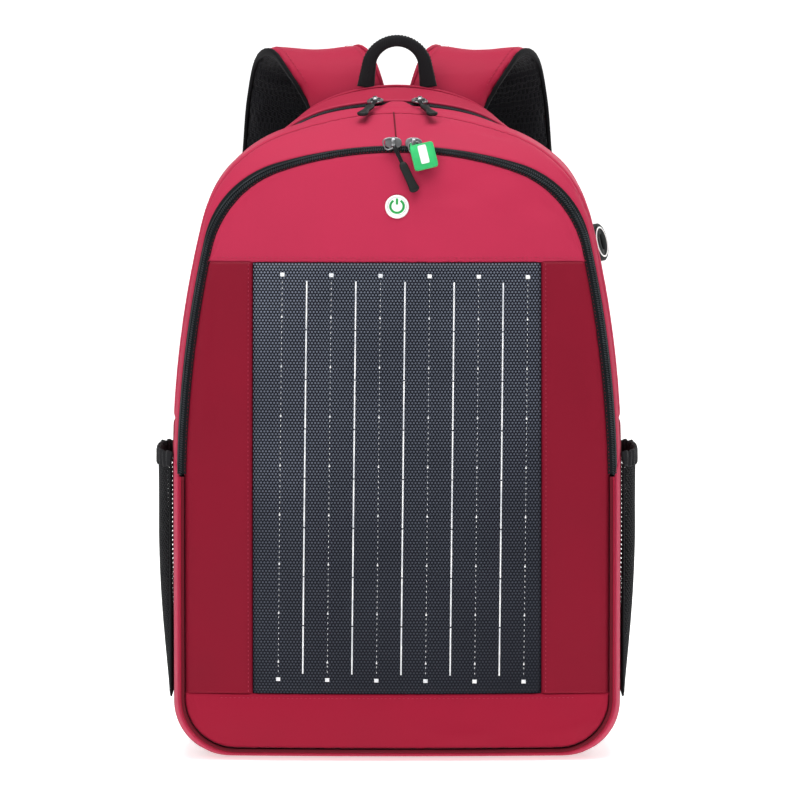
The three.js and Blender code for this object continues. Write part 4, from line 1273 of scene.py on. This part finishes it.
def inflate(obj, voxel, cap, pressure=4.0):
    """Blows a closed piece up as stuffed cloth, moving no point further than cap, and smooths it."""
    remesh = obj.modifiers.new("remesh", "REMESH")
    remesh.mode, remesh.voxel_size = "VOXEL", voxel * MM
    apply_modifiers(obj)
    rest = coordinates(obj.data)
    cloth = obj.modifiers.new("cloth", "CLOTH").settings
    cloth.quality = 4
    cloth.use_pressure, cloth.uniform_pressure_force = True, pressure
    cloth.effector_weights.gravity = 0
    for step in range(1, 21):
        bpy.context.scene.frame_set(step)
    depsgraph = bpy.context.evaluated_depsgraph_get()
    blown = bpy.data.meshes.new_from_object(obj.evaluated_get(depsgraph))
    move = coordinates(blown) - rest
    move -= move.mean(axis=0)
    length = np.linalg.norm(move, axis=-1, keepdims=True)
    move *= np.minimum(1, cap * MM / np.maximum(length, 1e-9))
    obj.modifiers.clear()
    bpy.data.meshes.remove(blown)
    obj.data.vertices.foreach_set("co", (rest + move).ravel())
    bpy.context.scene.frame_set(1)
    obj.modifiers.new("smooth", "SUBSURF").levels = 1
    apply_modifiers(obj)
    obj.data.shade_smooth()


def pad_mesh(name, x0, x1, z0, z1, base, thick):
    """A crowned closed form over an oblong: full in the middle, drawn in to its edge."""
    outline = squared(x1 - x0, z1 - z0, 0, 0, PAD_SQUARE, 120)
    middle = np.array([(x0 + x1) / 2, base, (z0 + z1) / 2])
    levels = []
    for share in np.linspace(0, 1, 16):
        a = share * math.pi
        inset = 1 - 0.5 * (1 - math.sin(a)) * (thick / min(x1 - x0, z1 - z0))
        levels.append((inset, (1 - math.cos(a)) / 2 * thick))
    levels += [(inset, thick * (1 + 0.05 * (1 - inset))) for inset in (0.9, 0.7, 0.4, 0.1)]
    rings = [stack(outline[:, 0] * inset, height, outline[:, 1] * inset) + middle for inset, height in levels]
    return ring_object(name, rings, AIR_MESH)


def back_pad(name, node, axis, channels):
    """A pad of air mesh on the back: stuffed, then pulled in along its sewn channels across an axis."""
    low, high = box_mm(node)
    pad = pad_mesh(name, low[0] + 2.5, high[0] - 2.5, low[2] + 2.5, high[2] - 2.5, low[1] - 0.2,
                   high[1] - low[1] - 3)
    inflate(pad, 4.5, 5)
    points = coordinates(pad.data) / MM
    outer = np.clip((points[:, 1] - low[1] - 2) / 3, 0, 1)
    for channel in channels:
        points[:, 1] -= outer * 4.5 * np.exp(-((points[:, axis] - channel) / 3.2) ** 2)
    points[:, 1] = np.maximum(points[:, 1], low[1] - 0.3)
    pad.data.vertices.foreach_set("co", (points * MM).ravel())
    store_flat(pad, points[:, [0, 2, 1]] * MM)
    place(pad, "bag", "spacer_mesh", node)
    wide, tall, x, z = high[0] - low[0] - 3, high[2] - low[2] - 3, (high[0] + low[0]) / 2, (high[2] + low[2]) / 2
    outline = squared(wide, tall, x, z, PAD_SQUARE, 160)
    path = stack(outline[:, 0], low[1] + 1.2, outline[:, 1])
    swept(name + "_binding", path, (0, 1, 0), ring_section(1.6, 1.8, 10), BLACK_CLOTH, "bag", "dark_cloth",
          closed=True)


def back_panel():
    loop = np.concatenate([np.linspace(0, 6, 150, endpoint=False), np.linspace(-6, 0, 150, endpoint=False)])
    rings = []
    for inset, y in ((14, 62.4), (2.5, 62.4), (0.9, 63.2), (0.5, 65),
                     (0.8, 67.6), (2.2, 69.0), (6, 69.4), (14, 69.5)):
        x, z = BACK.at(loop, inset)
        rings.append(stack(x, y, z - shoulder_drop(x, z)))
    centre = np.array([0, 69.6, 230])
    rings += [lerp(centre, rings[-1], share) for share in (0.75, 0.5, 0.25, 0.02)]
    rings = np.stack(rings)
    panel = ring_object("back_panel_cloth", rings, BLACK_CLOTH)
    store_flat(panel, rings[..., [0, 2, 1]] * MM)
    place(panel, "bag", "dark_cloth", "back_panel")
    x, z = BACK.at(loop, 0.6)
    path = stack(x, 66.2, z - shoulder_drop(x, z))
    swept("back_edge_binding", path, (0, 1, 0), ring_section(4.2, 1.1, 12, 0.7), STRAP_SHADED_CLOTH, "bag",
          "dark_cloth", closed=True)


# ---------- carrying handle, straps and their hardware ----------
STRAP_PATH = [[28, 76.5, 430], [35, 79.5, 455], [46, 88, 479], [60, 105, 489], [71, 124, 481], [77, 138, 455],
              [81, 143, 415], [88, 137, 360], [96, 119, 300], [98, 103, 245], [98, 93, 200]]


def strap_half(t):
    return lerp(lerp(27, 32.5, ease(t / 0.24)), 22, ease((t - 0.36) / 0.64))


def strap(side, sign):
    path = catmull(STRAP_PATH, 90) * np.array([sign, 1, 1])
    tangent, across, up = directions(path, (1, 0, 0))
    t = np.linspace(0, 1, 90)
    half = strap_half(t)
    ends = np.minimum(1, np.minimum(t, 1 - t) * 30 + 0.35)
    sections = np.stack([ring_section((w + 0.3) * e ** 0.3, 5.6 * e, 28, 0.6) for w, e in zip(half, ends)])
    body = tube_object(f"shoulder_strap_pad_{side}", path, across, up, sections, LIT_CLOTH)
    inflate(body, 4.0, 1.8, 3.0)
    # The outer face is red cloth and the face towards the wearer is air mesh.
    mesh = body.data
    mesh.materials.clear()
    mesh.materials.append(STRAP_SHADED_CLOTH)
    mesh.materials.append(AIR_MESH)
    points = coordinates(mesh) / MM
    nearest = np.array([np.argmin(np.sum((path - p) ** 2, axis=-1)) for p in points])
    run = t * np.linalg.norm(np.diff(path, axis=0), axis=-1).sum()
    height = np.sum((points - path[nearest]) * up[nearest], axis=-1)
    sideways = np.sum((points - path[nearest]) * across[nearest], axis=-1)
    store_flat(body, np.stack([sideways, run[nearest], height], axis=-1) * MM)
    outer = 1 if up[45, 1] > 0 else -1
    for face in mesh.polygons:
        mean = np.mean([height[v] for v in face.vertices])
        face.material_index = 0 if mean * outer > 0 else 1
    place(body, "bag", "shell_cloth", f"shoulder_strap_{side}")
    for edge, way, cloth in (("inner", -sign, STRAP_SHADED_CLOTH), ("outer", sign, BLACK_CLOTH)):
        line = path + across * (way * (half - 0.9) * ends ** 0.3)[:, None]
        swept(f"strap_binding_{edge}_{side}", line, (1, 0, 0), ring_section(1.6, 2.9, 14, 0.8), cloth, "bag",
              "dark_cloth")
        inset = path + across * (way * (half - 6.5))[:, None]
        facing = up * outer
        line = inset + facing * 4.6
        row = stitch_row(f"strap_stitches_{edge}_{side}", line[3:-3], facing[3:-3], 3.4, 2.0, 0.6, RED_THREAD,
                         0.2)
        place(row, "bag", "shell_cloth")


def webbing(name, points, thick, *nodes):
    """A length of flat webbing through points."""
    section = ring_section(WEBBING_WIDE / 2, thick / 2, 16, 0.35)
    swept(name, catmull(points, 60), (1, 0, 0), section, WEBBING, "bag", "webbing", *nodes)


def strap_ends(side, sign):
    low, high = box_mm(f"ladder_lock_{side}")
    z = (low[2] + high[2]) / 2
    x = 98.3 * sign
    lower = [(x, 86.2, z + 3), (x + 0.1 * sign, 85.8, z - 6), (x + 0.3 * sign, 86.2, 168),
             (103 * sign, 84.2, 140), (110 * sign, 80.8, 100), (118 * sign, 76.2, 66), (122 * sign, 73.8, 52)]
    webbing(f"webbing_lower_{side}", lower, 1.7, f"strap_webbing_{side}")
    tail = [(x, 86.2, z + 1), (x, 86.8, z + 5.5), (x, 92.2, z + 5.6), (x, 94.0, z), (x, 92.8, z - 7),
            (x + sign, 92.0, z - 22), (x + 4 * sign, 89.5, z - 50), (x + 5 * sign, 87.6, z - 68)]
    webbing(f"webbing_tail_{side}", tail, 1.5)
    upper = [(x, 92.6, 214), (x, 92.0, 203), (x, 93.6, z + 12), (x, 93.8, z + 9), (x, 89.8, z + 6.3),
             (x, 87.0, z + 10), (x, 88.4, 203)]
    webbing(f"webbing_upper_{side}", upper, 1.4)
    soften(f"ladder_lock_{side}", BLACK_PLASTIC, 0.9)
    outline = [(136, 20), (137, 24), (136, 60), (132, 62), (112, 63), (106, 52), (108, 49)]
    at = (np.array([0, PAD_Y + 1.8, 0.0]),) + tuple(np.diag([float(sign), 1.0, 1.0]))
    tab = slab(f"strap_tab_cloth_{side}", outline, 2.4, at, WEBBING, 0.7)
    store_flat(tab, coordinates(tab.data)[:, [0, 2, 1]])
    place(tab, "bag", "webbing", f"strap_tab_{side}")


def handle():
    radius, top, foot, y = 20.6, 501.4, 472, 66
    a = np.linspace(math.pi, 0, 9)
    arch = [(radius * math.cos(k), y, top - radius + radius * math.sin(k)) for k in a]
    path = catmull([(-radius - 2, y, foot - 4)] + arch + [(radius + 2, y, foot - 4)], 80)
    tangent, side, up = directions(path, (0, 1, 0))
    share = np.abs(np.linspace(-1, 1, 80))
    sections = np.stack([ring_section(3.6, lerp(4.15, 6.35, s ** 2), 20, 0.6) for s in share])
    grip = tube_object("handle_webbing", path, side, up, sections, WEBBING)
    place(grip, "grab_handle", "webbing", "grab_handle")
    outward = up * np.sign(up[40, 2])
    for k, edge in enumerate((-1, 1)):
        line = path + side * edge * 2.4 + outward * lerp(4.2, 6.4, share ** 2)[:, None]
        row = stitch_row(f"handle_stitches_{k}", line[6:-6], outward[6:-6], 2.4, 1.5, 0.5, ELASTIC, 0.1)
        place(row, "grab_handle", "webbing")


# ---------- inside ----------
def inside():
    u = np.linspace(0.3, 4.8, 60)
    seam, step = shell(u, seam_v(u)), shell(u + 0.01, seam_v(u))
    way = (step - seam) * np.array([1, 0, 1])
    way /= np.linalg.norm(way, axis=-1, keepdims=True)
    edge = seam + np.stack([way[:, 2], 0 * way[:, 0], -way[:, 0]], axis=-1) * 5
    share = np.linspace(-1, 1, 30)[:, None]
    points = stack(share * edge[:, 0], edge[:, 1], edge[:, 2])
    points[..., 1] += 1.5 * np.sin(share * 5) * np.sin(np.linspace(0, math.pi, 60))[None] - 0.8
    wall = solidify(grid_object("divider_cloth", points, LINING), 1.2)
    place(wall, "bag", "lining", "divider_wall")
    low, high = box_mm("laptop_sleeve")
    x, z = np.meshgrid(np.linspace(low[0], high[0], 50), np.linspace(low[2], high[2], 60), indexing="ij")
    swell = np.sin(math.pi * (x - low[0]) / (high[0] - low[0])) ** 0.5
    swell *= np.sin(math.pi * (z - low[2]) / 600 + 0.02)
    front = stack(x, high[1] - 6 - 5.2 * swell, z)
    sleeve = solidify(grid_object("sleeve_front", front, LINING, True), 2.4)
    place(sleeve, "bag", "lining", "laptop_sleeve")
    swept("sleeve_binding", front[:, -1], (0, 1, 0), ring_section(1.8, 2.4, 10), BLACK_CLOTH, "bag", "dark_cloth")
    for name in ("junction_box", "usb_controller"):
        soften(name, BLACK_PLASTIC, 1.2)
    depth = 2.4 + 3.4 + 1.6
    bends = ((32.5, 318), (44, 318), (57, 312), (62, 298), (62, 279.9))
    route = [(x, cover_y(x, z) + depth, z) for x, z in bends]
    swept("panel_lead", catmull(route, 40), (0, 1, 0), ring_section(1.7, 1.7, 10), RUBBER, "front_cover",
          "rubber", "solar_lead")


# ---------- floor, light and camera ----------
def stage():
    y = np.concatenate([np.linspace(-7000, 5500, 12), 5500 + 1200 * np.sin(np.linspace(0.1, math.pi / 2, 12)),
                        np.full(3, 6700.0)])
    z = np.concatenate([np.zeros(12), 1200 - 1200 * np.cos(np.linspace(0.1, math.pi / 2, 12)),
                        np.array([2500.0, 3500, 4500])])
    x = np.linspace(-7000, 7000, 3)
    points = np.stack(np.broadcast_arrays(x[:, None], y[None], z[None]), axis=-1)
    shader = Shader("studio_floor")
    shade = shader.noise(shader.place(), 1.5, 2.0)
    shader.set(Base_Color=shader.mix(shade, rgb(0.90, 0.90, 0.90), rgb(0.94, 0.94, 0.94)), Roughness=0.7,
               Emission_Color=rgb(1, 1, 1), Emission_Strength=0.6)
    grid_object("studio_floor", points - np.array([0, 0, 0.2]), shader.material)
    world = bpy.data.worlds.new("studio")
    bpy.context.scene.world = world
    world.use_nodes = True
    world.node_tree.nodes["Background"].inputs["Color"].default_value = (1, 1, 1, 1)
    world.node_tree.nodes["Background"].inputs["Strength"].default_value = 0.3
    for name, where, size, power in (("key", (-1.6, -2.2, 2.4), 1.8, 32), ("fill", (2.4, -2.4, 1.2), 2.2, 8),
                                     ("top", (0, -0.3, 2.6), 1.8, 56), ("rim", (1.4, 1.6, 1.6), 1.2, 14)):
        light = bpy.data.lights.new(name, "AREA")
        light.energy, light.size = power, size
        lamp = bpy.data.objects.new(name, light)
        bpy.context.scene.collection.objects.link(lamp)
        lamp.location = where
        lamp.rotation_euler = (Vector((0, 0, 0.25)) - Vector(where)).to_track_quat("-Z", "Y").to_euler()
    view = bpy.context.scene.view_settings
    view.view_transform, view.look = "Standard", "None"


def camera():
    eye, target = Vector((0.0021, -4.060, 0.603)), Vector((0.0021, -0.075, 0.2543))
    data = bpy.data.cameras.new("camera")
    data.lens, data.sensor_width = 257.6, 36
    data.clip_end = 100
    made = bpy.data.objects.new("camera", data)
    bpy.context.scene.collection.objects.link(made)
    made.location = eye
    made.rotation_euler = (target - eye).to_track_quat("-Z", "Y").to_euler()
    bpy.context.scene.camera = made


camera()
stage()
front_gusset()
main_gusset()
yoke()
side_panels()
base_and_strip()
front_zip()
main_zip()
front_cover()
cover_piping()
solar_panel()
badge()
port()
pulls()
pockets()
back_panel()
back_pad("back_pad_cloth_left", "back_pad_left", 2, (205, 300))
back_pad("back_pad_cloth_right", "back_pad_right", 2, (205, 300))
back_pad("lumbar_pad_cloth", "lumbar_pad", 0, (-34, 34))
for name, sign in SIDES:
    strap(name, sign)
    strap_ends(name, sign)
handle()
inside()
